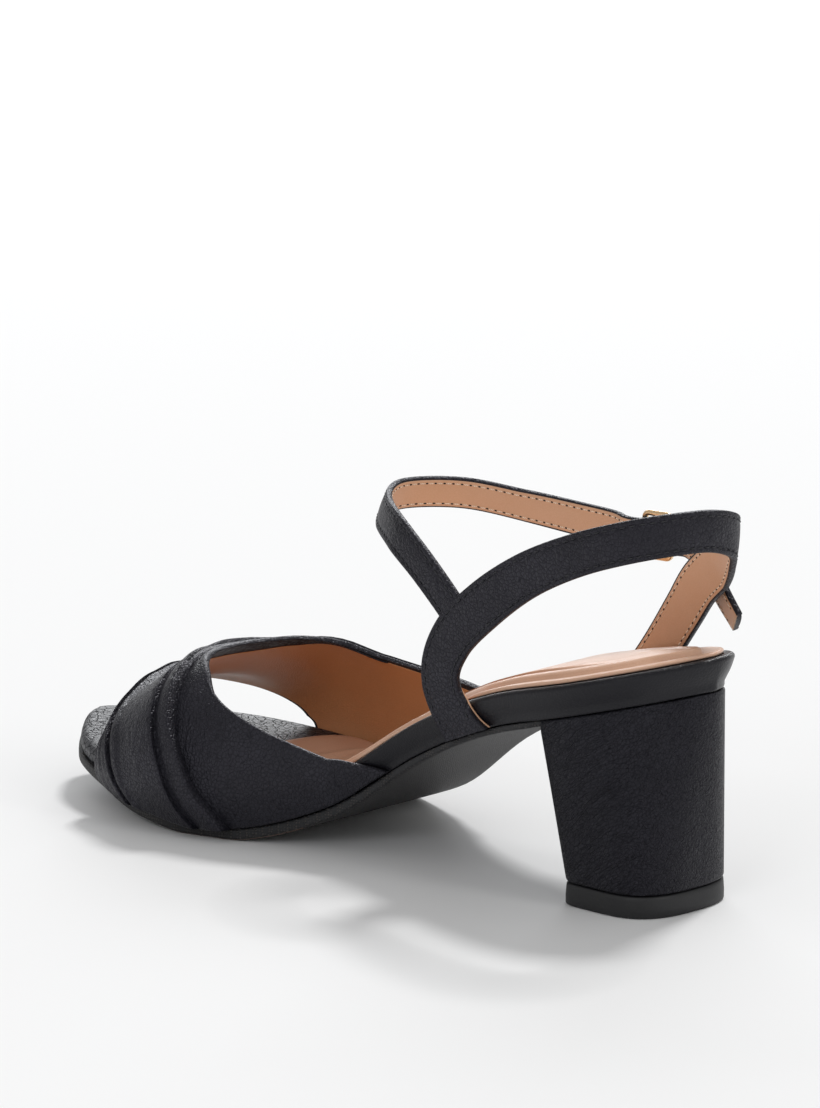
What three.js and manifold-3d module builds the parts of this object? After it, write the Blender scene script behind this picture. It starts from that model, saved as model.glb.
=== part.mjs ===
import * as THREE from 'three';
import { mergeVertices } from 'three/addons/utils/BufferGeometryUtils.js';
import Module from 'manifold-3d';

// A block heel sandal for the right foot, in millimetres.
// X runs from the heel to the toe, Y to the inner side of the foot, Z up from the floor.

const wasm = await Module();
wasm.setup();

// Sole and footbed
const soleLength = 228;
const ballWidth = 80.5;
const heelLift = 58.5;
const toeSpring = 11.4;
const rimHeight = 9.3;
const rimSlant = 2;
const rimRound = 1.4;
const outsoleThickness = 3.3;
const seatThickness = 1.8;
const outsoleRound = 1.3;
const treadSettle = 0.6;
const weltReach = 1.5;
const pieceGap = 0.3;
const rimEase = 0.65;

// Sock on the footbed
const sockLength = 177;
const sockInset = 2.2;
const sockEdge = 1.6;
const sockPad = 2.7;
const frontSquare = 24;

// Heel block and its top lift
const heelBack = 2.4;
const heelTopLength = 42.4;
const heelTipBack = 6.5;
const heelTipLength = 32.2;
const heelTipWidth = 39.8;
const liftHeight = 6;
const breastRound = 6.5;
const backRound = 2.7;

// Upper
const instepRise = 37;
const vampBulge = 1.3;
const vampWide = 5;
const vampWall = 1.5;
const pleatRaise = 1.5;
const rollRaise = 0.8;
const layerStep = 0.25;
const bandEase = 0.05;
const doubledWall = 0.9;

// Ankle straps
const ankleWidth = 56;
const strapRise = 34;
const slingWall = 2;
const slingWidth = 13;
const footRun = 15;
const instepWidth = 9.5;
const instepWall = 1.8;
const strapLean = 0.35;
const tailTwist = 0.72;
const tailStart = 0.82;

// Buckle
const buckleLength = 10;
const buckleHeight = 13.6;
const buckleBar = 1.6;
const bucklePlate = 1.5;
const buckleTilt = 0.14;
const buckleCorner = 2.2;
const windowCorner = 0.8;
const loopWall = 1.1;
const prongRadius = 0.5;

// Number of steps around each form
const soleSteps = 38;
const heelSteps = 44;
const bandSteps = 34;
const underFolds = 11;
const slingSteps = 72;
const instepSteps = 84;
const branchSteps = 12;
const loopSides = 18;

// Plan outline at the top of the rim: shares of the length and of the ball width.
const outlineRows = [
  { along: 0, inner: -0.012, outer: -0.012 },
  { along: 0.0175, inner: 0.128, outer: -0.134 },
  { along: 0.053, inner: 0.245, outer: -0.238 },
  { along: 0.123, inner: 0.332, outer: -0.325 },
  { along: 0.263, inner: 0.328, outer: -0.339 },
  { along: 0.417, inner: 0.276, outer: -0.364 },
  { along: 0.548, inner: 0.342, outer: -0.434 },
  { along: 0.658, inner: 0.453, outer: -0.493 },
  { along: 0.754, inner: 0.499, outer: -0.504 },
  { along: 0.855, inner: 0.432, outer: -0.422 },
  { along: 0.93, inner: 0.325, outer: -0.27 },
  { along: 0.978, inner: 0.184, outer: -0.09 },
  { along: 1, inner: 0.056, outer: 0.056 },
];

// Feather line, where the rim meets the outsole: shares of the heel lift and of the toe spring.
// The rim column is a share of the rim height.
const profileRows = [
  { along: 0, heel: 1, toe: 0, rim: 1 },
  { along: 0.13, heel: 0.868, toe: 0, rim: 0.98 },
  { along: 0.263, heel: 0.722, toe: 0, rim: 0.98 },
  { along: 0.395, heel: 0.486, toe: 0, rim: 1 },
  { along: 0.526, heel: 0.154, toe: 0, rim: 0.9 },
  { along: 0.658, heel: 0, toe: 0, rim: 0.77 },
  { along: 0.768, heel: 0, toe: 0.22, rim: 0.74 },
  { along: 0.877, heel: 0, toe: 0.61, rim: 0.6 },
  { along: 1, heel: 0, toe: 1, rim: 0.54 },
];

// Crest of the foot's form above the rim, a share of the instep rise, how far it lies to the
// inner side of the middle, a share of the ball width, and how much the sides swell over the rim.
const crestRows = [
  { along: 0.38, rise: 0.62, shift: 0.05, bulge: 1 },
  { along: 0.44, rise: 0.74, shift: 0.05, bulge: 1 },
  { along: 0.5, rise: 0.86, shift: 0.05, bulge: 1 },
  { along: 0.59, rise: 1.04, shift: 0.045, bulge: 1 },
  { along: 0.66, rise: 1.07, shift: 0.04, bulge: 1 },
  { along: 0.724, rise: 1.03, shift: 0.04, bulge: 0.85 },
  { along: 0.8, rise: 0.67, shift: 0.035, bulge: 0.45 },
  { along: 0.84, rise: 0.475, shift: 0.03, bulge: 0.15 },
  { along: 0.87, rise: 0.42, shift: 0.02, bulge: 0 },
  { along: 0.908, rise: 0.32, shift: 0.01, bulge: 0 },
  { along: 0.943, rise: 0.2, shift: 0, bulge: 0 },
  { along: 0.975, rise: 0.1, shift: 0, bulge: 0 },
];

// Edges of the two crossed bands over the forefoot, as shares of the length.
// Girth runs from 1 at the inner feather line over the crest at 0 to -1 at the outer one.
const bandRows = [
  { girth: 1, underFront: 0.8, underRear: 0.435, overFront: 0.838, overRear: 0.64 },
  { girth: 0.86, underFront: 0.82, underRear: 0.474, overFront: 0.85, overRear: 0.657 },
  { girth: 0.72, underFront: 0.825, underRear: 0.512, overFront: 0.848, overRear: 0.677 },
  { girth: 0.5, underFront: 0.83, underRear: 0.62, overFront: 0.842, overRear: 0.72 },
  { girth: 0.38, underFront: 0.842, underRear: 0.688, overFront: 0.853, overRear: 0.734 },
  { girth: 0.25, underFront: 0.855, underRear: 0.73, overFront: 0.868, overRear: 0.746 },
  { girth: 0, underFront: 0.895, underRear: 0.83, overFront: 0.888, overRear: 0.77 },
  { girth: -0.2, underFront: 0.918, underRear: 0.875, overFront: 0.897, overRear: 0.758 },
  { girth: -0.3, underFront: 0.928, underRear: 0.9, overFront: 0.898, overRear: 0.73 },
  { girth: -0.4, underFront: 0.937, underRear: 0.912, overFront: 0.887, overRear: 0.642 },
  { girth: -0.58, underFront: 0.948, underRear: 0.922, overFront: 0.845, overRear: 0.515 },
  { girth: -0.78, underFront: 0.955, underRear: 0.927, overFront: 0.81, overRear: 0.465 },
  { girth: -1, underFront: 0.958, underRear: 0.928, overFront: 0.802, overRear: 0.445 },
];

// Folds of the upper band from its front edge at 0 to its rear edge at 1, at the inner side and
// at the outer side, with their share of the roll and of the pleat.
const foldRows = [
  { inner: 0, outer: 0, roll: 0, pleat: 0 },
  { inner: 0.1, outer: 0.025, roll: 0.1, pleat: 0 },
  { inner: 0.2, outer: 0.05, roll: 0.15, pleat: 0 },
  { inner: 0.235, outer: 0.08, roll: 1, pleat: 0 },
  { inner: 0.31, outer: 0.16, roll: 1, pleat: 0 },
  { inner: 0.35, outer: 0.2, roll: 0.2, pleat: 0 },
  { inner: 0.42, outer: 0.3, roll: 0, pleat: 0 },
  { inner: 0.5, outer: 0.42, roll: 0, pleat: 0 },
  { inner: 0.58, outer: 0.56, roll: 0, pleat: 0 },
  { inner: 0.67, outer: 0.7, roll: 0, pleat: 0 },
  { inner: 0.69, outer: 0.72, roll: 0, pleat: 1 },
  { inner: 0.83, outer: 0.8, roll: 0, pleat: 1 },
  { inner: 0.96, outer: 0.89, roll: 0, pleat: 1 },
  { inner: 0.98, outer: 0.91, roll: 0, pleat: 0 },
  { inner: 1, outer: 1, roll: 0, pleat: 0 },
];

// Route of the sling from the inner feather line, round the back, to the outer one.
// X is a share of the length, y of the ankle's width, above of the strap's rise over the rim.
const slingRows = [
  { x: 0.3, y: 0.45, above: -0.27, width: 0.95 },
  { x: 0.316, y: 0.48, above: -0.06, width: 1 },
  { x: 0.325, y: 0.505, above: 0.3, width: 1 },
  { x: 0.307, y: 0.505, above: 0.54, width: 1.04 },
  { x: 0.26, y: 0.5, above: 0.73, width: 1.04 },
  { x: 0.196, y: 0.482, above: 0.91, width: 0.96 },
  { x: 0.123, y: 0.455, above: 1.02, width: 0.9 },
  { x: 0.061, y: 0.4, above: 1.055, width: 0.88 },
  { x: 0.0235, y: 0.286, above: 1.055, width: 0.88 },
  { x: 0.004, y: 0.06, above: 1.02, width: 0.88 },
  { x: 0.012, y: -0.15, above: 0.93, width: 0.91 },
  { x: 0.042, y: -0.26, above: 0.82, width: 0.97 },
  { x: 0.082, y: -0.36, above: 0.69, width: 1.04 },
  { x: 0.128, y: -0.446, above: 0.54, width: 1.04 },
  { x: 0.157, y: -0.48, above: 0.35, width: 1 },
  { x: 0.2, y: -0.5, above: 0.03, width: 0.95 },
  { x: 0.24, y: -0.48, above: -0.27, width: 0.92 },
];

// The sling's feet widen along the feather line: their front and rear ends, inner foot first.
const footRows = [
  { front: 0.334, rear: 0.257 },
  { front: 0.28, rear: 0.212 },
];

// Route of the instep strap from the sling over the instep to the buckle.
const instepRows = [
  { x: 0.285, y: 0.5, above: 0.55 },
  { x: 0.31, y: 0.502, above: 0.8 },
  { x: 0.358, y: 0.482, above: 1.2 },
  { x: 0.422, y: 0.393, above: 1.64 },
  { x: 0.492, y: 0.18, above: 2.05 },
  { x: 0.52, y: 0, above: 2.19 },
  { x: 0.517, y: -0.11, above: 2.19 },
  { x: 0.475, y: -0.32, above: 1.99 },
  { x: 0.398, y: -0.446, above: 1.56 },
  { x: 0.325, y: -0.482, above: 1.28 },
  { x: 0.268, y: -0.487, above: 1.11 },
];

// The strap's way through the buckle, in the buckle's own lengths, and its free tail.
const threadRows = [
  { run: 0.9, out: -0.23 },
  { run: 0.5, out: -0.27 },
  { run: 0.02, out: 0.05 },
  { run: -0.5, out: 0.38 },
  { run: -0.95, out: 0.33 },
];
const tailRows = [
  { x: 0.146, y: -0.562, above: 0.8 },
  { x: 0.114, y: -0.54, above: 0.46 },
  { x: 0.082, y: -0.518, above: 0.19 },
];

// The buckle's middle, and where the branch that holds it leaves the sling.
const buckleRow = { x: 0.208, y: -0.52, above: 0.975 };
const branchRows = [
  { x: 0.07, y: -0.35, above: 0.75 },
  { x: 0.12, y: -0.455, above: 0.79 },
];

// A smooth curve through the rows of a table, read at any place on its key column.
function curveThrough(rows, key, column) {
  const places = rows.map((row) => row[key]);
  const values = rows.map((row) => row[column]);
  const last = rows.length - 1;
  const chord = (i) => (values[i + 1] - values[i]) / (places[i + 1] - places[i]);
  const slopes = values.map((value, i) => {
    if (i === 0) return chord(0);
    if (i === last) return chord(last - 1);
    const before = places[i] - places[i - 1];
    const after = places[i + 1] - places[i];
    return (chord(i - 1) * after + chord(i) * before) / (before + after);
  });
  const rising = places[last] > places[0] ? 1 : -1;
  return (place) => {
    let i = 0;
    while (i < last - 1 && (place - places[i + 1]) * rising > 0) i += 1;
    const span = places[i + 1] - places[i];
    const t = THREE.MathUtils.clamp((place - places[i]) / span, 0, 1);
    const t2 = t * t;
    const t3 = t2 * t;
    return values[i] * (2 * t3 - 3 * t2 + 1) + slopes[i] * span * (t3 - 2 * t2 + t)
      + values[i + 1] * (3 * t2 - 2 * t3) + slopes[i + 1] * span * (t3 - t2);
  };
}

// Half widths are read over an angle, so that both ends of the outline come out round.
const endAngle = (along) => Math.acos(1 - 2 * THREE.MathUtils.clamp(along, 0, 1));
const roundRows = outlineRows.map((row) => ({ ...row, angle: endAngle(row.along) }));
const innerEdge = curveThrough(roundRows, 'angle', 'inner');
const outerEdge = curveThrough(roundRows, 'angle', 'outer');
const heelShare = curveThrough(profileRows, 'along', 'heel');
const toeShare = curveThrough(profileRows, 'along', 'toe');
const rimShare = curveThrough(profileRows, 'along', 'rim');
const riseShare = curveThrough(crestRows, 'along', 'rise');
const shiftShare = curveThrough(crestRows, 'along', 'shift');
const bulgeShare = curveThrough(crestRows, 'along', 'bulge');

const treadTop = outsoleThickness + pieceGap - treadSettle;
const rimY = (x, side) => ballWidth * (side > 0 ? innerEdge : outerEdge)(endAngle(x / soleLength));
const midY = (x) => (rimY(x, 1) + rimY(x, -1)) / 2;
const feather = (x) => treadTop + heelLift * heelShare(x / soleLength) + toeSpring * toeShare(x / soleLength);
const rimTop = (x) => feather(x) + rimHeight * rimShare(x / soleLength);

// Closed rings of points are skinned into one body, and both end rings are closed by a strip
// between the points that mirror pairs with each other.
function skinRings(rings, pair) {
  const count = rings[0].length;
  const positions = rings.flat().flatMap((point) => [point.x, point.y, point.z]);
  const faces = [];
  for (let ring = 0; ring < rings.length - 1; ring += 1) {
    for (let k = 0; k < count; k += 1) {
      const next = (k + 1) % count;
      const a = ring * count;
      const b = a + count;
      faces.push(a + k, a + next, b + next, a + k, b + next, b + k);
    }
  }
  const close = (ring, flip) => {
    const start = ring * count;
    for (let k = 0; k < count; k += 1) {
      const i = k;
      const j = k + 1;
      const m = pair(k, count);
      const n = pair(k + 1, count);
      if (j > n) break;
      for (const face of [[i, j, n], [i, n, m]]) {
        if (new Set(face.map((corner) => corner % count)).size < 3) continue;
        const [p, q, r] = face.map((corner) => start + (corner % count));
        faces.push(...(flip ? [p, r, q] : [p, q, r]));
      }
    }
  };
  close(0, true);
  close(rings.length - 1, false);
  return turnedOut(positions, faces);
}

const pairAcross = (k, count) => count - k;
const pairBack = (k, count) => count - 1 - k;

function turnedOut(positions, faces) {
  const corner = (index) => new THREE.Vector3().fromArray(positions, 3 * index);
  let volume = 0;
  for (let i = 0; i < faces.length; i += 3) {
    volume += corner(faces[i]).dot(corner(faces[i + 1]).cross(corner(faces[i + 2])));
  }
  const geometry = new THREE.BufferGeometry();
  geometry.setAttribute('position', new THREE.Float32BufferAttribute(positions, 3));
  const index = [];
  for (let i = 0; i < faces.length; i += 3) {
    const [p, q, r] = faces.slice(i, i + 3);
    index.push(...(volume < 0 ? [p, r, q] : [p, q, r]));
  }
  geometry.setIndex(index);
  return geometry;
}

function toSolid(source) {
  const bare = source.clone();
  bare.deleteAttribute('normal');
  bare.deleteAttribute('uv');
  const merged = mergeVertices(bare, 1e-4);
  const triVerts = Uint32Array.from(merged.index.array);
  const vertProperties = Float32Array.from(merged.attributes.position.array);
  return new wasm.Manifold(new wasm.Mesh({ numProp: 3, vertProperties, triVerts }));
}

function toGeometry(solid) {
  const mesh = solid.getMesh();
  const geometry = new THREE.BufferGeometry();
  geometry.setAttribute('position', new THREE.BufferAttribute(Float32Array.from(mesh.vertProperties), 3));
  geometry.setIndex(new THREE.BufferAttribute(Uint32Array.from(mesh.triVerts), 1));
  return geometry;
}

// A ring around the sole at an inset from the rim's top outline, which may end in a round front.
// It starts at the back of the heel and runs forward along the outer side.
function soleRing(inset, height, front = soleLength) {
  const ring = [];
  const end = Math.min(soleLength - inset, front);
  const rounded = end < soleLength - inset;
  for (let k = 0; k < 2 * soleSteps; k += 1) {
    const share = (1 - Math.cos((Math.PI * k) / soleSteps)) / 2;
    const side = k <= soleSteps ? -1 : 1;
    const x = THREE.MathUtils.lerp(inset, end, share);
    const place = ((x - inset) / (soleLength - 2 * inset)) * soleLength;
    const half = Math.abs(rimY(place, side) - midY(place));
    const drawn = half * (1 - inset / Math.max(half, 2 * inset, pieceGap));
    const tip = k % soleSteps === 0;
    const y = midY(place) + (tip ? 0 : side * drawn * (rounded ? frontRound(share) : 1));
    ring.push(new THREE.Vector3(x, y, height(x)));
  }
  return ring;
}

const frontRound = (share) => Math.sqrt(1 - Math.max(2 * share - 1, 0) ** frontSquare);

function makeFootbed() {
  const rings = [
    soleRing(rimSlant, feather),
    soleRing(0, (x) => rimTop(x) - rimRound),
    soleRing(rimRound * 0.3, (x) => rimTop(x) - rimRound * 0.3),
    soleRing(rimRound, rimTop),
  ];
  return skinRings(rings, pairAcross);
}

// The outsole thins under the seat, and reaches out under the upper at the forefoot.
function makeOutsole() {
  const forward = (x) => THREE.MathUtils.smoothstep(x / soleLength, 0.3, 0.55);
  const thickness = (x) => THREE.MathUtils.lerp(seatThickness, outsoleThickness, forward(x));
  const top = (x) => feather(x) - pieceGap;
  const bottom = (x) => Math.max(top(x) - thickness(x), 0);
  const spread = (ring) => ring.map((point) => {
    const middle = midY(point.x);
    const half = Math.max(Math.abs(point.y - middle), 1);
    const y = middle + (point.y - middle) * (1 + (weltReach * forward(point.x)) / half);
    const toward = THREE.MathUtils.smoothstep(point.x / soleLength, 0.88, 1);
    return new THREE.Vector3(point.x + weltReach * toward, y, point.z);
  });
  const rings = [
    soleRing(rimSlant + outsoleRound, bottom),
    soleRing(rimSlant, (x) => bottom(x) + outsoleRound * 0.7),
    soleRing(rimSlant, top),
  ];
  return skinRings(rings.map(spread), pairAcross);
}

// The sock lies on the footbed, with a padded middle that is thickest at the seat.
function makeSock() {
  const seat = (x) => 1 - 0.55 * THREE.MathUtils.smoothstep(x / soleLength, 0.3, 0.55);
  const base = (x) => rimTop(x) + pieceGap;
  const pad = (share) => (x) => base(x) + sockEdge + (sockPad - sockEdge) * seat(x) * share;
  const whole = soleRing(sockInset, base, sockLength);
  const heelEnd = whole[0].x;
  const toeEnd = whole[soleSteps].x;
  const drawn = (share, height) => whole.map((point, k) => {
    const mate = whole[(2 * soleSteps - k) % (2 * soleSteps)];
    const middle = new THREE.Vector3().addVectors(point, mate).multiplyScalar(0.5);
    const moved = new THREE.Vector3().lerpVectors(middle, point, share);
    const drawnIn = (1 - share) * ballWidth * 0.3;
    const span = (point.x - heelEnd) / (toeEnd - heelEnd);
    moved.x = THREE.MathUtils.lerp(heelEnd + drawnIn, toeEnd - drawnIn, span);
    moved.z = height(moved.x);
    return moved;
  });
  const rings = [
    drawn(1, base),
    drawn(1, pad(0)),
    drawn(0.86, pad(0.1)),
    drawn(0.74, pad(0.75)),
    drawn(0.5, pad(1)),
  ];
  return skinRings(rings, pairAcross);
}

// The heel is round at the back and flat at the breast. Its top follows the seat's outline.
function roundedHalf(share) {
  const reach = Math.abs(2 * share - 1);
  const power = share > 0.5 ? breastRound : backRound;
  return (1 - reach ** power) ** (1 / power);
}

function heelRing(level, height) {
  const ring = [];
  const tipMiddle = midY(heelTipBack + heelTipLength / 2);
  const seatReach = ballWidth * outlineRows[3].inner;
  for (let k = 0; k < heelSteps; k += 1) {
    const share = (1 - Math.cos((2 * Math.PI * k) / heelSteps)) / 2;
    const side = k <= heelSteps / 2 ? -1 : 1;
    const end = k % (heelSteps / 2) === 0;
    const tipX = heelTipBack + heelTipLength * share;
    const tipY = tipMiddle + (end ? 0 : side * (heelTipWidth / 2) * roundedHalf(share));
    const seatX = heelBack + heelTopLength * share;
    const seatHalf = Math.abs(rimY(seatX - heelBack, side) - midY(seatX - heelBack));
    const drawn = seatHalf * (1 - rimSlant / seatReach);
    const corner = share > 0.5 ? roundedHalf(share) : 1;
    const seatY = midY(seatX - heelBack) + (end ? 0 : side * drawn * corner);
    const x = THREE.MathUtils.lerp(tipX, seatX, level);
    ring.push(new THREE.Vector3(x, THREE.MathUtils.lerp(tipY, seatY, level), height(x)));
  }
  return ring;
}

const heelTopHeight = (x) => feather(x) - 2 * pieceGap - seatThickness;

function makeHeelBlock() {
  const foot = liftHeight + pieceGap;
  const rings = [0, 0.3, 0.65, 0.9, 1].map((level) => (
    heelRing(level, (x) => THREE.MathUtils.lerp(foot, heelTopHeight(x), level))
  ));
  return skinRings(rings, pairAcross);
}

function makeTopLift() {
  return skinRings([heelRing(0, () => 0), heelRing(0, () => liftHeight)], pairAcross);
}

// The form of the forefoot: a point on its skin, at x along and girth across, lifted outward.
const sideShare = 0.72;

function formPoint(x, girth) {
  const side = girth >= 0 ? 1 : -1;
  const rim = rimY(x, side);
  const foot = new THREE.Vector2(rim - side * rimSlant, feather(x));
  const crest = new THREE.Vector2(midY(x) + ballWidth * shiftShare(x / soleLength), 0);
  const rise = instepRise * riseShare(x / soleLength);
  crest.y = rimTop(x) + rise;
  const bulge = bulgeShare(x / soleLength);
  const wide = new THREE.Vector2(rim + side * vampBulge * bulge, rimTop(x) + vampWide * bulge);
  const out = Math.abs(girth);
  if (out > sideShare) {
    const t = (1 - out) / (1 - sideShare);
    const knee = new THREE.Vector2(wide.x, rimTop(x) - (1 - bulge) * rimSlant);
    const y = (1 - t) ** 2 * foot.x + 2 * t * (1 - t) * knee.x + t * t * wide.x;
    const z = (1 - t) ** 2 * foot.y + 2 * t * (1 - t) * knee.y + t * t * wide.y;
    return new THREE.Vector3(x, y, z);
  }
  const angle = (out / sideShare) * (Math.PI / 2);
  const y = crest.x + (wide.x - crest.x) * Math.sin(angle);
  const z = wide.y + (crest.y - wide.y) * Math.cos(angle) ** 0.95;
  return new THREE.Vector3(x, y, z);
}

function skinPoint(x, girth, lift) {
  const point = formPoint(x, girth);
  const stepX = 1;
  const stepG = 0.02;
  const ahead = formPoint(x + stepX, girth).sub(formPoint(x - stepX, girth));
  const low = Math.max(girth - stepG, -1);
  const high = Math.min(girth + stepG, 1);
  const around = formPoint(x, high).sub(formPoint(x, low));
  const normal = ahead.cross(around).normalize();
  point.addScaledVector(normal, lift);
  point.z = Math.max(point.z, feather(point.x));
  return point;
}

// A band over the form between two edges. For each of its folds it takes the share across
// at a girth and the outer lift there.
function bandBody(front, rear, folds, innerLift) {
  const rings = [];
  for (let k = 0; k <= bandSteps; k += 1) {
    const girth = 1 - (2 * k) / bandSteps;
    const outer = [];
    const inner = [];
    for (const fold of folds) {
      const x = soleLength * THREE.MathUtils.lerp(front(girth), rear(girth), fold.across(girth));
      outer.push(skinPoint(x, girth, fold.lift(girth)));
      inner.push(skinPoint(x, girth, innerLift));
    }
    rings.push([...outer, ...inner.reverse()]);
  }
  return skinRings(rings, pairBack);
}

function makeVamp() {
  const edge = (column) => curveThrough(bandRows, 'girth', column);
  const skin = pieceGap + bandEase;
  const evenFolds = Array.from({ length: underFolds + 1 }, (_, k) => ({
    across: () => k / underFolds,
    lift: () => skin + vampWall,
  }));
  const under = bandBody(edge('underFront'), edge('underRear'), evenFolds, skin);
  const doubled = (girth) => THREE.MathUtils.smoothstep(girth, -0.35, 0.1);
  const towardInner = (girth) => THREE.MathUtils.smoothstep(girth, 0, 0.7);
  const pleatedFolds = foldRows.map((row) => ({
    across: (girth) => THREE.MathUtils.lerp(row.outer, row.inner, towardInner(girth)),
    lift: (girth) => skin + layerStep + vampWall * (1 + doubledWall * doubled(girth))
      + rollRaise * row.roll + pleatRaise * row.pleat,
  }));
  const over = bandBody(edge('overFront'), edge('overRear'), pleatedFolds, skin + layerStep);
  return toGeometry(toSolid(under).add(toSolid(over)));
}

// The straps' outward direction at a place around the ankle, leaning up over the instep.
const ankleBack = 0.086;
const ankleFront = 0.41;

function strapOut(point) {
  const middle = THREE.MathUtils.clamp(point.x / soleLength, ankleBack, ankleFront) * soleLength;
  const lean = strapLean * THREE.MathUtils.smoothstep(point.x / soleLength, 0.3, 0.5);
  return new THREE.Vector3(point.x - middle, point.y, 0).normalize().setZ(lean).normalize();
}

const strapPoint = (row) => new THREE.Vector3(
  row.x * soleLength,
  row.y * ankleWidth,
  rimTop(Math.max(row.x, 0) * soleLength) + row.above * strapRise,
);

// How far out a strap's inner face has to lie beside the rim.
function rimClearance(point) {
  const side = Math.sign(point.y);
  const x = THREE.MathUtils.clamp(point.x, 1, soleLength - 1);
  const share = (point.z - feather(x)) / (rimTop(x) - feather(x));
  const slant = share < 1 ? rimSlant * (1 - Math.max(share, 0)) : (point.z - rimTop(x)) * 0.8;
  const needed = side * rimY(x, side) - slant + rimEase;
  return side * Math.max(needed - side * point.y, 0);
}

// A place on the feather line in a foot of the sling.
function footPlace(foot, share, side) {
  const x = soleLength * THREE.MathUtils.lerp(foot.front, foot.rear, share + 0.5);
  return new THREE.Vector3(x, rimY(x, side) - side * (rimSlant - rimEase), feather(x));
}

function ribbonBody(points, widths, wall, steps, out, feet = []) {
  const route = new THREE.CatmullRomCurve3(points, false, 'centripetal');
  const lengths = points.map((point, i) => (i ? point.distanceTo(points[i - 1]) : 0));
  let run = 0;
  const total = lengths.reduce((sum, length) => sum + length, 0);
  const widthRows = widths.map((width, i) => {
    run += lengths[i];
    return { at: run / total, width };
  });
  const widthAt = curveThrough(widthRows, 'at', 'width');
  const rings = [];
  for (let k = 0; k <= steps; k += 1) {
    const t = k / steps;
    const centre = route.getPointAt(t);
    const along = route.getTangentAt(t);
    const facing = out(centre, t);
    const across = new THREE.Vector3().crossVectors(along, facing).normalize();
    const normal = new THREE.Vector3().crossVectors(across, along).normalize();
    const outer = [];
    const inner = [];
    for (const share of [-0.5, -0.25, 0, 0.25, 0.5]) {
      const place = centre.clone().addScaledVector(across, share * widthAt(t));
      feet.forEach((foot, end) => {
        const away = total * (end === 0 ? t : 1 - t);
        const held = 1 - THREE.MathUtils.smoothstep(away, 0, footRun);
        place.lerp(footPlace(foot, share, end === 0 ? 1 : -1), held);
      });
      const inside = place.clone().addScaledVector(normal, -wall / 2);
      const shift = feet.length ? rimClearance(inside) : 0;
      inside.y += shift;
      outer.push(inside.clone().addScaledVector(normal, wall));
      inner.push(inside);
    }
    rings.push([...outer, ...inner.reverse()]);
  }
  return skinRings(rings, pairBack);
}

// The buckle stands on the outer side of the ankle, its length along the strap.
const buckleSeat = new THREE.Matrix4().compose(
  strapPoint(buckleRow),
  new THREE.Quaternion().setFromEuler(new THREE.Euler(Math.PI / 2, buckleTilt, 0)),
  new THREE.Vector3(1, 1, 1),
);
const inBuckle = (run, up, out) => new THREE.Vector3(run, up, out).applyMatrix4(buckleSeat);
const loopHole = Math.hypot(buckleBar, bucklePlate) / 2 + pieceGap;
const loopOuter = loopHole + loopWall;
const ringRadius = loopHole + prongRadius;
const rearBar = -(buckleLength - buckleBar) / 2;
const frontBar = (buckleLength - buckleBar) / 2;

function seated(geometry, run, up, out) {
  return geometry.translate(run, up, out).applyMatrix4(buckleSeat);
}

function makeBuckleFrame() {
  const slab = (length, height, corner) => {
    const shape = new THREE.Shape();
    const u = length / 2;
    const v = height / 2;
    shape.moveTo(-u + corner, -v);
    shape.lineTo(u - corner, -v);
    shape.absarc(u - corner, -v + corner, corner, -Math.PI / 2, 0, false);
    shape.lineTo(u, v - corner);
    shape.absarc(u - corner, v - corner, corner, 0, Math.PI / 2, false);
    shape.lineTo(-u + corner, v);
    shape.absarc(-u + corner, v - corner, corner, Math.PI / 2, Math.PI, false);
    shape.lineTo(-u, -v + corner);
    shape.absarc(-u + corner, -v + corner, corner, Math.PI, 1.5 * Math.PI, false);
    return shape;
  };
  const outline = slab(buckleLength, buckleHeight, buckleCorner);
  outline.holes.push(slab(buckleLength - 2 * buckleBar, buckleHeight - 2 * buckleBar, windowCorner));
  const options = { depth: bucklePlate, bevelEnabled: false, curveSegments: 5 };
  const plate = new THREE.ExtrudeGeometry(outline, options).translate(0, 0, -bucklePlate / 2);
  return plate.applyMatrix4(buckleSeat);
}

const prongLift = bucklePlate / 2 + pieceGap + prongRadius;

function prongRod(radius) {
  const reach = frontBar + buckleBar * 0.4 - rearBar;
  const rod = new THREE.CylinderGeometry(radius, radius, reach, 10).rotateZ(Math.PI / 2);
  rod.rotateY((ringRadius - prongLift) / reach);
  return seated(rod, rearBar + reach / 2, 0, (ringRadius + prongLift) / 2);
}

function makeProng() {
  const ring = new THREE.TorusGeometry(ringRadius, prongRadius, 8, 20).rotateX(Math.PI / 2);
  return toGeometry(toSolid(prongRod(prongRadius)).add(toSolid(seated(ring, rearBar, 0, 0))));
}

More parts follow.
